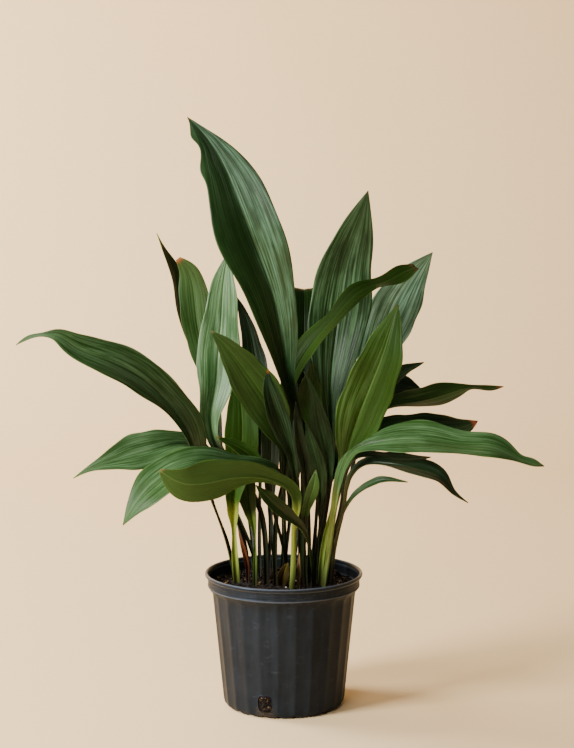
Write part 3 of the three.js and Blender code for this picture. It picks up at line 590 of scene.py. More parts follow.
def leaf(foot, stem, stalk, blade, face=0, roll=(0, 0, 0), fold=(35, 12, 5), wave=(1.5, 2.5, 0.3),
         lobes=()):
    """One leaf's sizes in millimetres and degrees. foot is [x, y] on the rhizome, stem is half the
    stalk's width, stalk is [x, y, z] up its middle, and blade is [x, y, z, half the width] along
    the midrib to the tip. face turns the blade about +Z, roll turns it about its midrib at base,
    middle and tip, and fold lifts its halves there. wave is [height, waves along the blade, phase]
    of its margin. A lobe is [side, t, spread, reach], a swelling of the margin on one side."""
    return {
        "foot": foot, "stem": stem, "stalk": stalk, "blade": blade, "face": face, "roll": roll,
        "fold": fold, "wave": wave, "lobes": lobes,
    }


LEAVES = {
    "leaf_01": leaf([28, 16], 4.5, [[29, 2, 285], [31, -6, 385]], [
        [24, -18, 458, 8], [6, -36, 540, 18], [-4, -50, 605, 32], [-20, -60, 680, 44],
        [-45, -62, 748, 55], [-70, -56, 815, 49], [-92, -45, 868, 33], [-120, -32, 912, 15],
        [-150, -16, 943, 0.5],
    ], fold=[55, 20, 6], wave=[1.5, 2, 0.1],
       lobes=[[-1, 0.94, 0.03, 9], [-1, 0.83, 0.035, 7], [1, 0.93, 0.06, -3], [1, 0.5, 0.2, -3]]),
    "leaf_02": leaf([-54, 58], 3, [[-72, 78, 268], [-99, 95, 366]], [
        [-120, 112, 460, 9], [-150, 132, 565, 15], [-174, 140, 640, 17.5], [-183, 138, 695, 15],
        [-194, 134, 720, 8], [-209, 126, 755, 0.5],
    ], roll=[30, 60, 70]),
    "leaf_03": leaf([-34, 66], 3.2, [[-60, 61, 258], [-97, 66, 355]], [
        [-109, 76, 452, 8], [-125, 88, 534, 18], [-141, 94, 602, 24], [-147, 94, 655, 24.5],
        [-158, 89, 699, 14.5], [-172, 82, 716, 4.5],
    ], roll=[10, 5, 0]),
    "leaf_04": leaf([-28, 10], 4.4, [[-29, 4, 250], [-36, 8, 308], [-68, 16, 370]], [
        [-111, 20, 425, 11], [-118, 20, 465, 19], [-110, 20, 512, 28], [-105, 23, 570, 35],
        [-100, 27, 625, 28], [-97, 30, 672, 21], [-89, 34, 730, 0.5],
    ], fold=[40, 12, 5], wave=[2, 2, 0.6]),
    "leaf_05": leaf([-38, 36], 3, [[-40, 56, 255], [-39, 84, 350]], [
        [-38, 100, 423, 8], [-40, 113, 485, 17], [-47, 124, 548, 20], [-59, 134, 603, 14],
        [-81, 144, 653, 0.5],
    ], lobes=[[1, 0.7, 0.2, -6]]),
    "leaf_06": leaf([-12, -10], 3.6, [[-14, -12, 255], [-7, -17, 338]], [
        [5, -26, 406, 8], [-7, -39, 455, 23], [-28, -53, 502, 36], [-58, -62, 548, 31],
        [-90, -66, 590, 14.5], [-113, -64, 613, 0.5],
    ], roll=[0, -5, -10], fold=[45, 12, 5]),
    "leaf_07": leaf([26, -6], 3.2, [[26, -30, 290], [23, -52, 352]], [
        [18, -64, 386, 6], [10, -78, 427, 10], [-3, -90, 465, 16.5], [-16, -99, 505, 16],
        [-24, -100, 538, 7.5], [-24, -96, 558, 0.5],
    ], roll=[0, 10, 20], fold=[50, 25, 10]),
    "leaf_08": leaf([40, 4], 3, [[41, -6, 280], [39, -18, 329]], [
        [35, -30, 369, 6], [30, -42, 410, 11], [23, -50, 450, 9], [19, -52, 500, 0.5],
    ], roll=[25, 25, 25], fold=[40, 25, 10]),
    "leaf_09": leaf([47, 48], 2.8, [[52, 52, 275], [57, 52, 360]], [
        [59, 50, 403, 6], [52, 47, 445, 13], [42, 44, 490, 20.5], [42, 42, 510, 19], [44, 38, 532, 8],
        [45, 34, 554, 0.5],
    ]),
    "leaf_10": leaf([54, 32], 3, [[60, 28, 262], [70, 24, 321]], [
        [73, 20, 366, 7], [67, 13, 415, 16.5], [55, 7, 465, 15.5], [50, 4, 495, 8], [42, 2, 521, 3],
        [32, 0, 542, 0.5],
    ], fold=[40, 15, 5]),
    "leaf_11": leaf([49, 10], 2.8, [[54, 2, 255], [58, -4, 310]], [
        [58, -8, 335, 8], [55, -20, 382, 14], [46, -29, 423, 10.5], [34, -35, 467, 0.5],
    ]),
    "leaf_12": leaf([38, -32], 2.6, [[34, -42, 245], [33, -56, 296]], [
        [33, -66, 321, 6], [39, -77, 347, 8.5], [46, -84, 370, 9.5], [50, -86, 398, 0.5],
    ]),
    "leaf_13": leaf([-76, 40], 3.2, [[-88, 18, 250], [-116, -34, 350]], [
        [-137, -66, 420, 18], [-152, -92, 468, 31], [-180, -115, 512, 30], [-225, -141, 556, 34],
        [-275, -161, 583, 31], [-315, -170, 602, 20], [-340, -174, 618, 10], [-360, -176, 619, 3.5],
        [-380, -176, 615, 3.5], [-400, -174, 603, 0.5],
    ], face=90, roll=[-35, -45, -60], wave=[2, 2.5, 0.3]),
    "leaf_14": leaf([-58, 24], 3, [[-61, 17, 252], [-86, 1, 333]], [
        [-127, -18, 418, 10], [-160, -35, 431, 20], [-205, -59, 425, 32.5], [-245, -77, 417, 31],
        [-270, -87, 411, 18], [-295, -93, 404, 7.5], [-326, -98, 387, 0.5],
    ], face=90, roll=[-40, -50, -50]),
    "leaf_15": leaf([8, 42], 3.4, [[5, 28, 250], [3, -14, 328]], [
        [-6, -58, 386, 8], [-34, -88, 405, 15], [-82, -120, 412, 24], [-130, -144, 416, 34.5],
        [-170, -158, 405, 35.5], [-195, -166, 388, 33], [-218, -172, 366, 20], [-243, -176, 329, 0.5],
    ], face=100, roll=[-15, -35, -50], fold=[30, 12, 5], wave=[2, 2.5, 0.2]),
    "leaf_16": leaf([6, 4], 2.6, [[0, -16, 257], [-14, -40, 318]], [
        [-34, -54, 392, 8], [-50, -61, 414, 13], [-78, -71, 435, 9.5], [-105, -78, 449, 0.5],
    ], face=90, roll=[-50, -50, -50]),
    "leaf_17": leaf([-74, 4], 4.8, [[-79, -6, 253], [-80, -12, 295]], [
        [-81, -16, 324, 12.5], [-79, -21, 358, 20], [-68, -28, 420, 27], [-66, -28, 468, 27],
        [-69, -24, 502, 17.5], [-77, -18, 540, 0.5],
    ], fold=[50, 18, 8], wave=[1.5, 2, 0.2]),
    "leaf_18": leaf([13, -22], 4.6, [[17, -50, 255], [18, -76, 309]], [
        [19, -96, 341, 9.5], [14, -118, 366, 15], [-12, -152, 392, 16], [-44, -178, 404, 23],
        [-80, -198, 405, 32], [-118, -214, 400, 36], [-150, -225, 403, 29.5], [-182, -234, 424, 3],
    ], face=90, roll=[35, 62, 70], fold=[20, 12, 5], wave=[2, 2, 0.4]),
    "leaf_19": leaf([47, -16], 2.8, [[46, -36, 235], [38, -72, 284]], [
        [25, -106, 311, 8.5], [4, -131, 336, 12], [-19, -148, 360, 13], [-42, -156, 387, 0.5],
    ], face=90, roll=[-40, -50, -50], fold=[45, 20, 5]),
    "leaf_20": leaf([-46, -10], 2.8, [[-46, -14, 247], [-47, -12, 284]], [
        [-52, -8, 309, 10], [-59, -8, 348, 15.5], [-62, -4, 390, 13], [-69, 8, 440, 0.5],
    ]),
    "leaf_21": leaf([24, 70], 3.2, [[33, 84, 267], [35, 104, 364]], [
        [35, 122, 462, 10], [33, 138, 540, 21], [34, 158, 622, 26], [34, 190, 657, 24],
        [34, 226, 640, 15.5], [38, 252, 572, 0.5],
    ], fold=[35, 10, 5]),
    "leaf_22": leaf([57, 62], 4.2, [[62, 72, 253], [76, 82, 351]], [
        [78, 88, 422, 8], [76, 93, 490, 25], [81, 97, 558, 41], [92, 98, 640, 51], [103, 93, 708, 42],
        [120, 86, 768, 25.5], [136, 76, 826, 0.5],
    ], fold=[45, 12, 5], wave=[2, 2, 0.5]),
    "leaf_23": leaf([-6, 58], 3, [[-1, 56, 273], [-5, 48, 390]], [
        [2, 34, 475, 10], [16, 27, 533, 19.5], [50, 26, 590, 21], [85, 28, 629, 16.5],
        [125, 35, 668, 21], [172, 46, 685, 18], [195, 52, 697, 18], [213, 58, 704, 9],
    ], roll=[-40, -45, -20], fold=[35, 10, 5]),
    "leaf_24": leaf([60, 44], 3.8, [[71, 60, 255], [95, 106, 347]], [
        [112, 146, 450, 8], [140, 163, 520, 25], [165, 174, 575, 36], [190, 178, 635, 41],
        [215, 175, 678, 27], [248, 166, 721, 0.5],
    ], fold=[35, 14, 5]),
    "leaf_25": leaf([58, -4], 4.2, [[66, -12, 271], [82, -26, 339]], [
        [88, -34, 373, 5], [98, -43, 415, 14], [108, -54, 452, 31], [130, -68, 517, 39.5],
        [152, -76, 575, 33], [168, -74, 626, 15], [177, -70, 655, 0.5],
    ], fold=[30, 14, 5]),
    "leaf_26": leaf([42, 78], 2.8, [[53, 112, 278], [72, 148, 390]], [
        [116, 194, 451, 7], [160, 209, 482, 16.5], [204, 222, 515, 12.5], [240, 228, 529, 0.5],
    ], face=-90, roll=[40, 45, 45]),
    "leaf_27": leaf([12, 84], 2.8, [[31, 150, 304], [65, 200, 406]], [
        [120, 228, 455, 8], [165, 242, 476, 18.5], [202, 254, 487, 20.5], [222, 258, 482, 13],
        [241, 260, 475, 0.5],
    ], face=-90, roll=[40, 50, 50]),
    "leaf_28": leaf([75, 40], 3, [[85, 52, 274], [111, 80, 368]], [
        [136, 112, 433, 10], [175, 142, 464, 13.5], [219, 168, 469, 25.5], [255, 186, 474, 29.5],
        [296, 204, 484, 19], [320, 212, 488, 7], [348, 218, 486, 8], [376, 222, 488, 0.5],
    ], face=-90, roll=[30, 30, 30]),
    "leaf_29": leaf([60, 24], 3, [[69, 32, 261], [95, 46, 358]], [
        [116, 62, 401, 9], [145, 79, 423, 21], [180, 92, 432, 30], [240, 113, 433, 31],
        [300, 132, 433, 22], [324, 138, 441, 0.5],
    ], face=-90, roll=[30, 30, 30]),
    "leaf_30": leaf([61, -20], 4.5, [[72, -42, 277]], [
        [81, -66, 347, 8.5], [92, -83, 400, 13], [112, -97, 434, 17], [140, -110, 445, 24],
        [175, -122, 452, 33], [235, -140, 452, 33.5], [277, -151, 448, 27.5], [314, -158, 447, 28.5],
        [340, -162, 437, 18.5], [360, -165, 428, 9.5], [378, -166, 423, 9.5], [394, -166, 418, 0.5],
    ], face=-90, roll=[34, 34, 30], fold=[20, 10, 5], wave=[1.5, 3, 0.3],
       lobes=[[-1, 0.26, 0.09, -14]]),
    "leaf_31": leaf([74, -8], 3, [[83, -14, 271], [95, -30, 331]], [
        [101, -50, 372, 6], [125, -78, 405, 10], [167, -108, 411, 14], [215, -131, 405, 22],
        [240, -142, 395, 17.5], [255, -148, 379, 8], [281, -152, 359, 0.5],
    ], face=-90, roll=[20, 24, 38]),
    "leaf_32": leaf([68, 8], 2.5, [[72, -6, 244], [83, -40, 293]], [
        [98, -66, 337, 4.5], [120, -86, 366, 7], [150, -104, 385, 7.5], [191, -120, 385, 0.5],
    ], face=-90, roll=[20, 30, 30]),
    "leaf_33": leaf([71, 24], 2.6, [[76, 16, 255], [92, 4, 333]], [
        [100, -2, 380, 5], [113, 0, 400, 8], [150, 12, 402, 12], [205, 31, 396, 11.5],
        [239, 44, 396, 0.5],
    ], face=-90, roll=[20, 25, 25]),
    "leaf_34": leaf([-14, 84], 3.4, [[-20, 110, 260], [-30, 150, 355]], [
        [-37, 180, 428, 8.5], [-42, 215, 466, 26], [-46, 260, 486, 34], [-48, 300, 480, 27],
        [-46, 330, 446, 0.5],
    ]),
    "leaf_35": leaf([23, 88], 3.6, [[36, 122, 256], [54, 176, 386]], [
        [71, 192, 452, 8.5], [90, 213, 520, 25], [103, 255, 582, 36], [110, 305, 600, 30],
        [119, 352, 561, 0.5],
    ]),
    "leaf_36": leaf([-50, 78], 3.2, [[-53, 110, 244], [-62, 146, 305]], [
        [-64, 175, 355, 8.5], [-68, 215, 384, 21], [-70, 265, 389, 25], [-69, 305, 369, 16],
        [-68, 322, 347, 0.5],
    ]),
    "leaf_37": leaf([62, 84], 3.2, [[60, 96, 256], [70, 114, 320]], [
        [84, 132, 359, 8], [99, 165, 387, 20], [111, 215, 398, 26.5], [120, 262, 383, 17.5],
        [126, 285, 358, 0.5],
    ]),
    "leaf_38": leaf([-24, 63], 2.6, [[-23, 68, 250]], [
        [-22, 70, 295, 4], [-22, 71, 350, 11], [-21, 72, 410, 16], [-22, 75, 462, 13],
        [-26, 78, 505, 0.5],
    ]),
    "leaf_39": leaf([0, 81], 2.8, [[6, 77, 252]], [
        [11, 73, 300, 4.5], [13, 72, 355, 13], [14, 73, 415, 17], [15, 76, 470, 13.5],
        [20, 79, 522, 0.5],
    ]),
    "young_shoot": leaf([-3, -19], 5.5, [], [
        [-3, -21, 198, 5.5], [-2, -23, 209, 9.5], [0, -25, 220, 9.5], [7, -28, 237, 1],
    ], fold=[60, 60, 40]),
    "dry_sheath_1": leaf([-58, 7], 2.4, [[-58, 4, 205]], [
        [-59, -2, 228, 4], [-64, -9, 253, 4], [-73, -14, 289, 0.5],
    ], fold=[60, 40, 20]),
    "dry_sheath_2": leaf([25, -26], 2.4, [[24, -30, 203]], [
        [24, -31, 216, 4], [24, -32, 233, 3], [25, -33, 254, 0.5],
    ], fold=[60, 40, 20]),
    "dead_stalk": leaf([74, 66], 1.8, [[75, 65, 201]], [
        [78, 63, 215, 2.5], [82, 62, 231, 2], [87, 60, 246, 0.5],
    ], fold=[40, 20, 10]),
}


def spline(knots, values):
    """The slopes at the knots of the natural cubic spline through the values."""
    spans = np.diff(knots)
    rises = np.diff(values, axis=0) / spans[:, None]
    count = len(knots)
    matrix = np.zeros((count, count))
    pulls = np.zeros((count, values.shape[1]))
    inner = np.arange(1, count - 1)
    matrix[inner, inner - 1] = 1 / spans[:-1]
    matrix[inner, inner] = 2 / spans[:-1] + 2 / spans[1:]
    matrix[inner, inner + 1] = 1 / spans[1:]
    pulls[inner] = 3 * (rises[:-1] / spans[:-1, None] + rises[1:] / spans[1:, None])
    matrix[0, :2] = (2, 1)
    matrix[-1, -2:] = (1, 2)
    pulls[0] = 3 * rises[0]
    pulls[-1] = 3 * rises[-1]
    return np.linalg.solve(matrix, pulls)


def follow(knots, values, slopes, distance):
    """Places and directions on the spline at given distances: cubic pieces between the knots."""
    i = np.clip(np.searchsorted(knots, distance) - 1, 0, len(knots) - 2)
    span = np.diff(knots)[i][:, None]
    t = (distance - knots[i])[:, None] / span
    place = (
        (2 * t ** 3 - 3 * t ** 2 + 1) * values[i] + (3 * t ** 2 - 2 * t ** 3) * values[i + 1]
        + ((t ** 3 - 2 * t ** 2 + t) * slopes[i] + (t ** 3 - t ** 2) * slopes[i + 1]) * span
    )
    along = (
        (6 * t ** 2 - 6 * t) * (values[i] - values[i + 1]) / span
        + (3 * t ** 2 - 4 * t + 1) * slopes[i] + (3 * t ** 2 - 2 * t) * slopes[i + 1]
    )
    return place, along


def eased(value, low, high):
    """Rises smoothly from 0 to 1 while the value goes from low to high."""
    share = np.clip((value - low) / (high - low), 0.0, 1.0)
    return share * share * (3 - 2 * share)


def blend(stages, t):
    """Goes from the base's value through the middle one to the tip's."""
    base, middle, tip = stages
    return base + (middle - base) * eased(t, 0.0, 0.5) + (tip - middle) * eased(t, 0.5, 1.0)


def leaf_rows(foot, stem, stalk, blade, face, roll):
    """The rows of a leaf from foot to tip: distance along the midrib, t from 0 at the blade's base to
    1 at its tip (negative on the stalk), place, half the width, and the directions along, across
    and up. The midrib follows the spline, and the roll turns across and up about it."""
    foot = [*foot, FOOT_HEIGHT / MM, stem]
    route = np.array([foot, *([*place, stem] for place in stalk), *blade]) * MM
    steps = np.linalg.norm(np.diff(route[:, :3], axis=0), axis=1)
    knots = np.concatenate([[0.0], np.cumsum(steps)])
    start, end = knots[1 + len(stalk)], knots[-1]
    distance = np.concatenate([
        np.linspace(0.0, start, max(int(start / STALK_STEP), 2), endpoint=False),
        np.linspace(start, end, max(int((end - start) / BLADE_STEP), 8)),
    ])
    t = (distance - start) / (end - start)
    place, along = follow(knots, route, spline(knots, route), distance)
    half = np.maximum(place[:, 3], EDGE)
    along = along[:, :3] / np.linalg.norm(along[:, :3], axis=1, keepdims=True)
    facing = math.radians(face)
    level = np.array([math.cos(facing), math.sin(facing), 0.0])
    side = level - along * (along @ level)[:, None]
    side /= np.linalg.norm(side, axis=1, keepdims=True)
    turned = np.radians(blend(roll, np.clip(t, 0.0, 1.0)))[:, None]
    side = side * np.cos(turned) + np.cross(along, side) * np.sin(turned)
    return distance, t, place[:, :3], half, along, side, np.cross(side, along)


def pleats(u, t, phase):
    """Fine ridges along the blade in shares of their depth: sines of the distance from the midrib,
    each moved slowly to and fro on the way to the tip, and none at the midrib and the margin."""
    ridges = sum(
        share * np.sin(2 * math.pi * count * np.abs(u) + 5 * phase * count + 2.0 * (u > 0)
                       + 2.5 * np.sin(3 * t + count))
        for count, share in PLEATS
    )
    return ridges * eased(np.abs(u), 0.02, 0.2) * eased(1.02 - np.abs(u), 0.0, 0.12)


def leaf_form(foot, stem, stalk, blade, face, roll, fold, wave, lobes):
    """A leaf as rings round its section, from foot to tip, and what its skin needs to know. The two
    halves rise from the midrib by the fold, the margins wave, ripple and swell at the lobes, fine
    pleats run from base to tip, and half a round keel hangs under the midrib."""
    distance, signed, place, half, along, side, up = leaf_rows(foot, stem, stalk, blade, face, roll)
    stem = stem * MM
    t = np.clip(signed, 0.0, 1.0)[:, None]
    share = np.linspace(-1.0, 1.0, COLUMNS)
    u = (np.sign(share) * np.abs(share) ** CROWDING)[None, :]
    keel_half = KEEL_SPREAD * (EDGE + (stem - EDGE) * (1 - t) ** KEEL_NARROWS)
    keel_depth = KEEL_LEAST + (KEEL * stem - KEEL_LEAST) * (1 - t) ** KEEL_THINS
    half = half[:, None]
    opening = np.clip((half - stem) / (2 * stem), 0.0, 1.0)
    lift = np.radians(blend(fold, t)) * opening
    height, waves, phase = wave
    begun = eased(t, 0.0, 0.05)
    turn = 2 * math.pi * (waves * t + phase) + np.where(u < 0, MARGIN_SHIFT, 0.0)
    swell = np.zeros_like(turn)
    for on, centre, spread, reach in lobes:
        swell = swell + reach * MM * np.exp(-((t - centre) / spread) ** 2) * (u * on > 0)
    across = u * (half * (1 + begun * RIPPLE * np.sin(2 * turn)) + swell)
    swing = height * MM * np.minimum(half / WAVY_FROM, 1.0) * begun
    depth = PLEAT_DEPTH * opening * np.minimum(half / PLEATED_FROM, 1.0)
    rise = np.abs(across) * np.sin(lift) + swing * u * u * np.sin(turn) + depth * pleats(u, t, phase)
    middle = place[:, None, :] + (across * np.cos(lift))[..., None] * side[:, None, :]
    middle = middle + rise[..., None] * up[:, None, :]
    bow = np.sqrt(np.maximum(1 - (across / keel_half) ** 2, 0.0))
    channel = GROOVE * keel_depth * np.maximum(1 - (across / (0.8 * keel_half)) ** 2, 0.0)
    upper = middle + (SKIN - channel)[..., None] * up[:, None, :]
    lower = middle - (SKIN + keel_depth * bow)[..., None] * up[:, None, :]
    for skin in (upper, lower):
        skin[0] += along[0] * ((FOOT_HEIGHT - skin[0, :, 2]) / along[0, 2])[:, None]
    rings = np.clip(np.concatenate([upper, lower[:, ::-1]], axis=1), *cad_box)
    both = np.concatenate([across, across[:, ::-1]], axis=1)
    under = np.concatenate([np.zeros(COLUMNS), np.ones(COLUMNS)])
    over = (np.broadcast_to(value, both.shape) for value in (signed[:, None], distance[:, None]))
    facts = {
        "leaf_place": np.stack([both / half, *over], axis=-1),
        "leaf_face": np.stack(np.broadcast_arrays(both, under, half), axis=-1),
    }
    return rings, facts


def leaf_faces(rows):
    """Faces round a leaf's rings, and its two ends closed straight across."""
    size = 2 * COLUMNS
    left = np.arange(COLUMNS - 1)
    end = np.stack([left, left + 1, size - 2 - left, size - 1 - left], axis=-1)
    last = (rows - 1) * size
    return [grid_faces(rows, size, True)[:, ::-1], end, end[:, ::-1] + last]


SKIN_COLORS = ("Blade", "Shade", "Under", "Rib", "Margin", "Highlight Paint", "Stalk", "Tip", "Base")
SKIN_VALUES = ("Dry From", "Seed", "Highlight", "Highlight Side", "Dark Side", "Dark Base", "Dark Tip")


def skin_group():
    """The skin of every leaf, in layers that each cover the ones before by their share. Veins run
    along it, closer where it is narrow, over slow changes of green. A grey-green highlight is
    painted in streaks, on one half or on both, painted shade darkens a half or the base, and the tip
    can be darker too. The midrib is paler, the margin has a thin light edge, the stalk has its own
    green and darkens towards its foot with dirt and painted shade, and the tip is dry."""
    tree = bpy.data.node_groups.new("leaf_skin", "ShaderNodeTree")
    sockets = (
        ("INPUT", "NodeSocketVector", ("Place", "Face")),
        ("INPUT", "NodeSocketColor", SKIN_COLORS),
        ("INPUT", "NodeSocketFloat", SKIN_VALUES),
        ("OUTPUT", "NodeSocketColor", ("Color",)),
        ("OUTPUT", "NodeSocketFloat", ("Roughness", "Height")),
    )
    for side, kind, names in sockets:
        for name in names:
            tree.interface.new_socket(name, in_out=side, socket_type=kind)
    given = {socket.name: Value(socket) for socket in tree.nodes.new("NodeGroupInput").outputs}
    u, t, distance = parted(given["Place"])
    across, under, half = parted(given["Face"])

    def pattern(stretch_across, stretch_along, detail):
        """Noise drawn out along the leaf, in its own place and shifted by the leaf's seed."""
        parts = {0: u * stretch_across, 1: distance * stretch_along, 2: given["Seed"]}
        return noise(wired(tree.nodes.new("ShaderNodeCombineXYZ"), parts), 1.0, detail, 0.6)

    streak = pattern(9.0, 9.0, 3.0)
    fine = pattern(26.0, 6.0, 3.0)
    vein = pattern(42.0, 5.0, 2.0)
    patch = pattern(1.6, 14.0, 3.0)
    lit = ramp(streak, 0.3, 0.7) * 0.5 + ramp(patch, 0.3, 0.7) * 0.5
    # Painted highlight: grey-green streaks laid into the colour where a glossy leaf would reflect the
    # light, on one half or on both.
    painted_highlight = ramp(streak * 0.45 + fine * 0.55, 0.42, 0.62) * ramp(patch, 0.32, 0.62, 0.3, 1.0)
    painted_highlight = painted_highlight * ramp(u * given["Highlight Side"], -0.3, -0.02) * given["Highlight"]
    # Painted shade: a half, or the base, is darkened towards the Shade colour, and the tip can be
    # darker too.
    painted_shade_half = ramp(u * given["Dark Side"], 0.0, 0.12) * ramp(abs(u), 0.9, 0.35, 0.15, 0.8)
    dark_end = ramp(t, 0.42, 0.08) * given["Dark Base"] + ramp(t, 0.3, 0.85) * given["Dark Tip"]
    rib = ramp(abs(across), 0.0016, 0.0006) * ramp(under, 0.0, 1.0, 0.3, 0.8)
    edge = ramp((1.0 - abs(u)) * half, 0.0010, 0.0003) * 0.35 * ramp(t, 0.0, 0.1)
    dry = ramp(t + (streak - 0.5) * 0.12 - given["Dry From"], 0.0, 0.025)
    color = given["Shade"]
    layers = (
        ("Blade", lit), ("Rib", ramp(vein, 0.5, 0.75) * 0.35), ("Under", under * 0.75), ("Highlight Paint", painted_highlight),
        ("Shade", painted_shade_half), ("Shade", dark_end), ("Rib", rib), ("Margin", edge),
        # The stalk darkens towards its foot with dirt and painted shade.
        ("Stalk", ramp(t, 0.10, -0.06)), ("Base", ramp(distance, 0.072, 0.024) * 0.8), ("Tip", dry),
    )
    for paint, share in layers:
        color = mixed(share, color, given[paint])
    out = tree.nodes.new("NodeGroupOutput").inputs
    wire(out["Color"], color)
    wire(out["Roughness"], ramp(patch, 0.3, 0.7, 0.32, 0.44) + under * 0.14 + dry * 0.3)
    wire(out["Height"], calc("SINE", u * 70.0) * 0.12 + vein * 0.8 + streak * 0.8)
    return tree


# Each tone is the blade's colour, its shade, the underside, midrib, margin and painted highlight.
TONES = {
    "deep": ("#1c3a14", "#0d1f08", "#1c3510", "#28441e", "#3c5830", "#4a6a4a"),
    "dark": ("#122409", "#091204", "#14240a", "#1c2e10", "#2c4018", "#36503a"),
    "fresh": ("#2c4a1e", "#1a300e", "#2c481c", "#3a5828", "#4c6832", "#5a7856"),
    "blue": ("#1a3614", "#0e1e08", "#183210", "#28421e", "#3c5838", "#42604a"),
    "bright": ("#2c4c16", "#1c340a", "#2c4812", "#42601e", "#587428", "#567240"),
    "olive": ("#20360e", "#162408", "#22380e", "#34501c", "#465c20", "#4a5e34"),
    "sunny": ("#2a481e", "#203814", "#2c461a", "#40582a", "#4a662a", "#56703a"),
    "pale": ("#365c2c", "#244620", "#34542a", "#4a6a3e", "#648052", "#7c9c78"),
    # The highlit tone is paler and greyer all over: it paints the highlight of a leaf whose face
    # catches the light.
    "highlit": ("#3c6646", "#22442a", "#385e40", "#4c7656", "#688c70", "#8cb49c"),
    "shoot": ("#3e3c0e", "#34180a", "#3a2c0e", "#86801e", "#5c3416", "#5a5a24"),
    "tan_sheath": ("#9a7c50", "#6a4e2c", "#7a5c38", "#a88c60", "#9a7c50", "#a08860"),
    "dry_leaf": ("#5a3018", "#301a0c", "#4c2814", "#66401f", "#5a3018", "#6a4a30"),
}
STALK = "#161e0c"
# The stalks darken to this towards their foot: dirt, and painted shade low among the stalks.
STALK_FOOT_DIRT_AND_SHADE = "#1a140b"
DRY_TIP = "#6a4a2c"
# What sets a leaf's finish apart, with the share and side of its painted highlight and painted
# shade. A side is 1 for the half on the right, -1 for the left one.
FINISH = {
    "leaf_01": {
        "tone": "blue", "stalk": "#22321a", "highlight": 1.0, "highlight_side": 1, "dark_side": -1,
        "dark_base": 0.9, "gloss": 0.15,
    },
    "leaf_02": {"tone": "olive", "tip": "#74804a", "dry_from": 0.92, "gloss": 0.12},
    "leaf_03": {"tone": "fresh", "tip": "#7a4a24", "dry_from": 0.965},
    "leaf_04": {"highlight": 0.8},
    "leaf_05": {"gloss": 0.12},
    "leaf_06": {"tone": "olive", "highlight": 0.05, "gloss": 0.12, "dark_base": 0.5},
    "leaf_07": {"tone": "dark", "tip": "#8a5824", "dry_from": 0.955, "highlight": 0.5, "gloss": 0.1},
    "leaf_10": {"tone": "deep", "highlight": 0.5},
    "leaf_11": {"tone": "deep", "highlight": 0.3},
    "leaf_13": {"tone": "fresh", "highlight": 0.7},
    "leaf_14": {"tone": "fresh", "highlight": 0.8},
    "leaf_15": {"tone": "fresh", "highlight": 0.6, "gloss": 0.12},
    "leaf_16": {"tip": "#8a8c34", "dry_from": 0.93, "gloss": 0.12},
    "leaf_17": {"tone": "bright", "stalk": "#7c8c3a", "gloss": 0.12, "highlight": 0.05, "dark_tip": 0.5},
    "leaf_18": {"tone": "sunny", "stalk": "#7c8c3c", "highlight": 0.05, "gloss": 0.12, "dark_base": 0.45},
    "leaf_19": {"tone": "olive", "stalk": "#223010"},
    "leaf_20": {"tone": "olive", "stalk": "#4a5e24", "gloss": 0.14},
    "leaf_21": {"tone": "dark", "gloss": 0.05, "highlight": 0.0},
    "leaf_22": {"tone": "deep", "highlight": 1.0, "gloss": 0.2},
    "leaf_23": {"tone": "olive", "gloss": 0.05, "highlight": 0.0, "dark_base": 0.6, "dark_tip": 0.4},
    "leaf_24": {"tone": "highlit", "highlight": 1.0, "gloss": 0.3},
    "leaf_25": {
        "stalk": "#74883a", "highlight": 0.7, "highlight_side": -1, "gloss": 0.12, "dark_side": 0.4,
        "dark_tip": 0.6,
    },
    "leaf_28": {"tone": "olive", "tip": "#6a3420", "dry_from": 0.95, "gloss": 0.12},
    "leaf_29": {"tip": "#6a3420", "dry_from": 0.94, "gloss": 0.1},
    "leaf_30": {"tone": "fresh", "stalk": "#748440", "highlight": 0.5, "gloss": 0.12},
    "leaf_31": {"stalk": "#3a3c1a", "highlight": 0.4},
    "leaf_32": {"stalk": "#34361a"},
    "dry_sheath_1": {"stalk": "#4a2412"},
    "dry_sheath_2": {"tone": "tan_sheath", "stalk": "#8a6c44"},
    "dead_stalk": {"stalk": "#2c1e10"},
    "young_shoot": {"tone": "shoot", "stalk": "#3c2410", "highlight": 0.0, "gloss": 0.15},
}
SEED_STEP = 3.7
leaf_skin = skin_group()


def leaf_material(name, tone, seed, stalk=STALK, tip=DRY_TIP, dry_from=0.985, highlight=0.15,
                  highlight_side=0, dark_side=0, dark_base=0.0, dark_tip=0.0, gloss=0.26):
    """One leaf's finish: the shared skin in its tone, painted highlight and shade, and a waxy gloss.
    """
    material, tree, shader = new_material(name)
    skin = tree.nodes.new("ShaderNodeGroup")
    skin.node_tree = leaf_skin
    values = (dry_from, seed, highlight, highlight_side, dark_side, dark_base, dark_tip)
    facts = {
        "Place": stored(tree, "leaf_place", "Vector"), "Face": stored(tree, "leaf_face", "Vector"),
        **dict(zip(SKIN_COLORS, (*TONES[tone], stalk, tip, STALK_FOOT_DIRT_AND_SHADE))),
        **dict(zip(SKIN_VALUES, values)),
    }
    wired(shader, {
        "Base Color": wired(skin, facts, "Color"), "Roughness": Value(skin.outputs["Roughness"]),
        "Normal": bumped(Value(skin.outputs["Height"]), 0.5, 0.0006), "Specular IOR Level": gloss,
    })
    return material


SLOT_OF = {row["node"]: row["material_slot"] for row in frame["record"]["subparts"]}
for number, (node, sizes) in enumerate(LEAVES.items()):
    rings, facts = leaf_form(**sizes)
    finish = {"tone": SLOT_OF[node].removeprefix("leaf_"), **FINISH.get(node, {})}
    skin = leaf_material(f"{node}_skin", seed=SEED_STEP * number, **finish)
    piece = make_piece(f"{node}_grown", rings, leaf_faces(len(rings)), skin)
    for name, values in facts.items():
        attribute = piece.data.attributes.new(name, "FLOAT_VECTOR", "POINT")
        attribute.data.foreach_set("vector", values.ravel())
    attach(piece, "root")
    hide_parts(node)


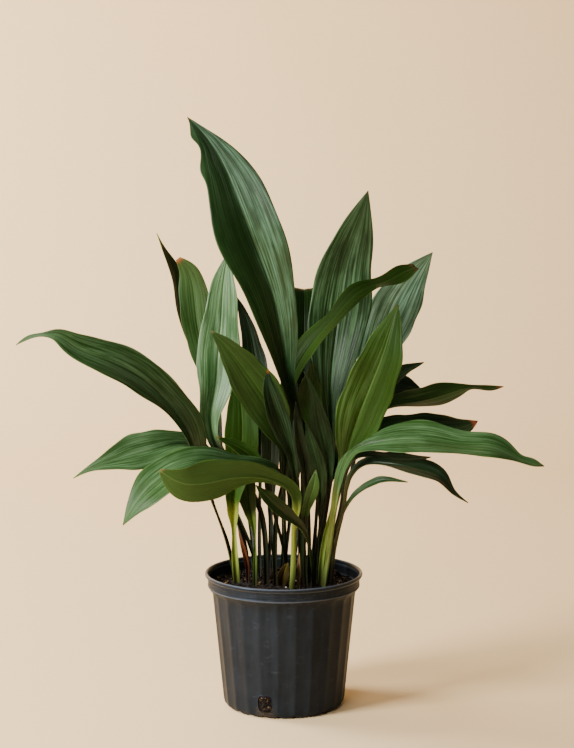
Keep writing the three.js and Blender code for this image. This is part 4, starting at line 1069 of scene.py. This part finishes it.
# Loose crumbs of bark and peat lie all over the mix and show in the drain holes, with a few white
# perlite grains and one brown lump of bark. Each is a small lumpy grain, partly sunk in the mix.
GRAIN_COLUMNS = 6
GRAIN_RINGS = 3
CRUMBS = 2600
HOLE_CRUMBS = 110
CRUMB_SIZES = (0.9, 3.6)
HOLE_SIZES = (1.2, 2.9)
CRUMB_REACH = 117 * MM
STALK_ROOM = 1.4
# In millimetres: x, y and size.
PERLITE = (
    (3.6, -28, 2.6), (19.8, 20, 2.0), (41, 27, 1.8), (50, 95, 1.7), (-30, -62, 1.6),
    (66, -70, 1.5),
)
LUMP = ((85, 55, 8),)
CRUMB_PAINTS = ("#070504", "#22120b")
TAN_CRUMB = "#7a6040"
CRUMB_SEED = 11
rng = np.random.default_rng(CRUMB_SEED)


def grain_shapes(centres, sizes):
    """Grains about their centres: latitude rings of a ball, each point pushed in or out at random,
    and each grain squashed flat and turned about the vertical."""
    count = len(centres)
    polar = np.pi * np.arange(1, GRAIN_RINGS + 1) / (GRAIN_RINGS + 1)
    turn = 2 * np.pi * np.arange(GRAIN_COLUMNS) / GRAIN_COLUMNS
    ball = np.stack(np.broadcast_arrays(
        np.sin(polar)[:, None] * np.cos(turn), np.sin(polar)[:, None] * np.sin(turn),
        np.cos(polar)[:, None]), axis=-1).reshape(-1, 3)
    ball = np.concatenate([ball, [[0, 0, 1], [0, 0, -1]]])
    lumpy = ball * rng.uniform(0.65, 1.15, (count, len(ball), 1))
    lumpy = lumpy * rng.uniform((0.8, 0.5, 0.45), (1.3, 0.9, 0.8), (count, 3))[:, None, :]
    angle = rng.uniform(0.0, 2 * np.pi, (count, 1))
    x = lumpy[..., 0] * np.cos(angle) - lumpy[..., 1] * np.sin(angle)
    y = lumpy[..., 0] * np.sin(angle) + lumpy[..., 1] * np.cos(angle)
    return centres[:, None, :] + np.stack([x, y, lumpy[..., 2]], axis=-1) * sizes[:, None, None]


def grain_faces(count):
    """The four-sided faces round each grain and the triangles at its two poles."""
    size = GRAIN_COLUMNS * GRAIN_RINGS + 2
    first = (np.arange(count) * size)[:, None, None]
    sides = grid_faces(GRAIN_RINGS, GRAIN_COLUMNS, True)[:, ::-1][None]
    top = ring_faces(GRAIN_RINGS, GRAIN_COLUMNS, size - 2, True)[:, ::-1][None]
    foot = ring_faces(GRAIN_RINGS, GRAIN_COLUMNS, size - 1, False)[:, ::-1][None]
    return [(first + part).reshape(-1, part.shape[-1]) for part in (sides, top, foot)]


def clear_of_stalks(places, grain_sizes):
    """Whether each grain stands clear of every stalk where that comes out of the mix."""
    stalks = []
    for sizes in LEAVES.values():
        foot = np.array([*sizes["foot"], FOOT_HEIGHT / MM])
        after = np.array((sizes["stalk"] or sizes["blade"])[0][:3])
        share = (SOIL_TOP / MM - foot[2]) / (after[2] - foot[2])
        stalks.append((foot + share * (after - foot))[:2])
    away = np.linalg.norm(places[:, None, :2] - np.array(stalks) * MM, axis=-1)
    room = np.array([sizes["stem"] for sizes in LEAVES.values()]) * MM * STALK_ROOM
    return (away > room + grain_sizes[:, None]).all(axis=1)


def crumb_material():
    """Bark and peat: each crumb has its own tone, from black through red-brown to a rare tan."""
    material, tree, shader = new_material("bark_crumbs")
    grain = noise(object_place(tree), 600.0, 4.0, 0.7)
    tone = stored(tree, "crumb_tone", "Fac") + (grain - 0.5) * 0.3
    color = mixed(ramp(tone, 0.35, 0.8), *CRUMB_PAINTS)
    wired(shader, {
        "Base Color": mixed(ramp(tone, 0.86, 1.0), color, TAN_CRUMB), "Roughness": 0.9,
        "Specular IOR Level": 0.2, "Normal": bumped(grain, 0.6, 0.0006),
    })
    return material


def add_grains(name, centres, sizes, material):
    """One piece of the mix's surface, made of grains with a random tone each."""
    points = grain_shapes(centres, sizes)
    piece = make_piece(name, points, grain_faces(len(centres)), material, smooth=False)
    tone = np.repeat(rng.uniform(0.0, 1.0, len(centres)), points.shape[1])
    piece.data.attributes.new("crumb_tone", "FLOAT", "POINT").data.foreach_set("value", tone)
    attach(piece, "root")
    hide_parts("soil")


def lying(x, y, sizes, proud):
    """Centres of grains on the mix, each raised above it by a share of its size."""
    return np.stack([x, y, soil_height(x, y) + proud * sizes], axis=-1)


def add_placed(name, rows, proud, material):
    """Grains at chosen places on the mix."""
    x, y, sizes = (np.array(rows) * MM).T
    add_grains(name, lying(x, y, sizes, proud), sizes, material)


reach = CRUMB_REACH * np.sqrt(rng.uniform(0.0, 1.0, CRUMBS))
turn = rng.uniform(0.0, 2 * np.pi, CRUMBS)
least, most = CRUMB_SIZES
crumb_size = (rng.uniform(0.0, 1.0, CRUMBS) ** 2.5 * (most - least) + least) * MM
crumbs = lying(reach * np.cos(turn), reach * np.sin(turn), crumb_size, 0.25)
free = clear_of_stalks(crumbs, crumb_size)
bark = crumb_material()
add_grains("mix_crumbs", crumbs[free], crumb_size[free], bark)

spots = DRAINS * HOLE_CRUMBS
turn = DRAIN_ANGLE + np.repeat(np.arange(DRAINS), HOLE_CRUMBS) * 2 * np.pi / DRAINS
turn = turn + rng.uniform(-0.5, 0.5, spots) * 0.8 * DRAIN_WIDTH / PANEL_FOOT[0]
height = rng.uniform(DRAIN_SPAN[0] + 1.5 * MM, DRAIN_SPAN[1] - 2 * MM, spots)
hole_size = rng.uniform(*HOLE_SIZES, spots) * MM
reach = wall_radius(height) - 0.6 * WALL - hole_size
hole_crumbs = np.stack([reach * np.sin(turn), -reach * np.cos(turn), height], axis=-1)
add_grains("drain_crumbs", hole_crumbs, hole_size, bark)

add_placed("perlite_grains", PERLITE, 0.6, mix_material("perlite", "#8a867c", "#cfccc4", 900.0))
add_placed("bark_lump", LUMP, 0.4, mix_material("brown_bark", "#24140c", "#4a3020", 400.0))
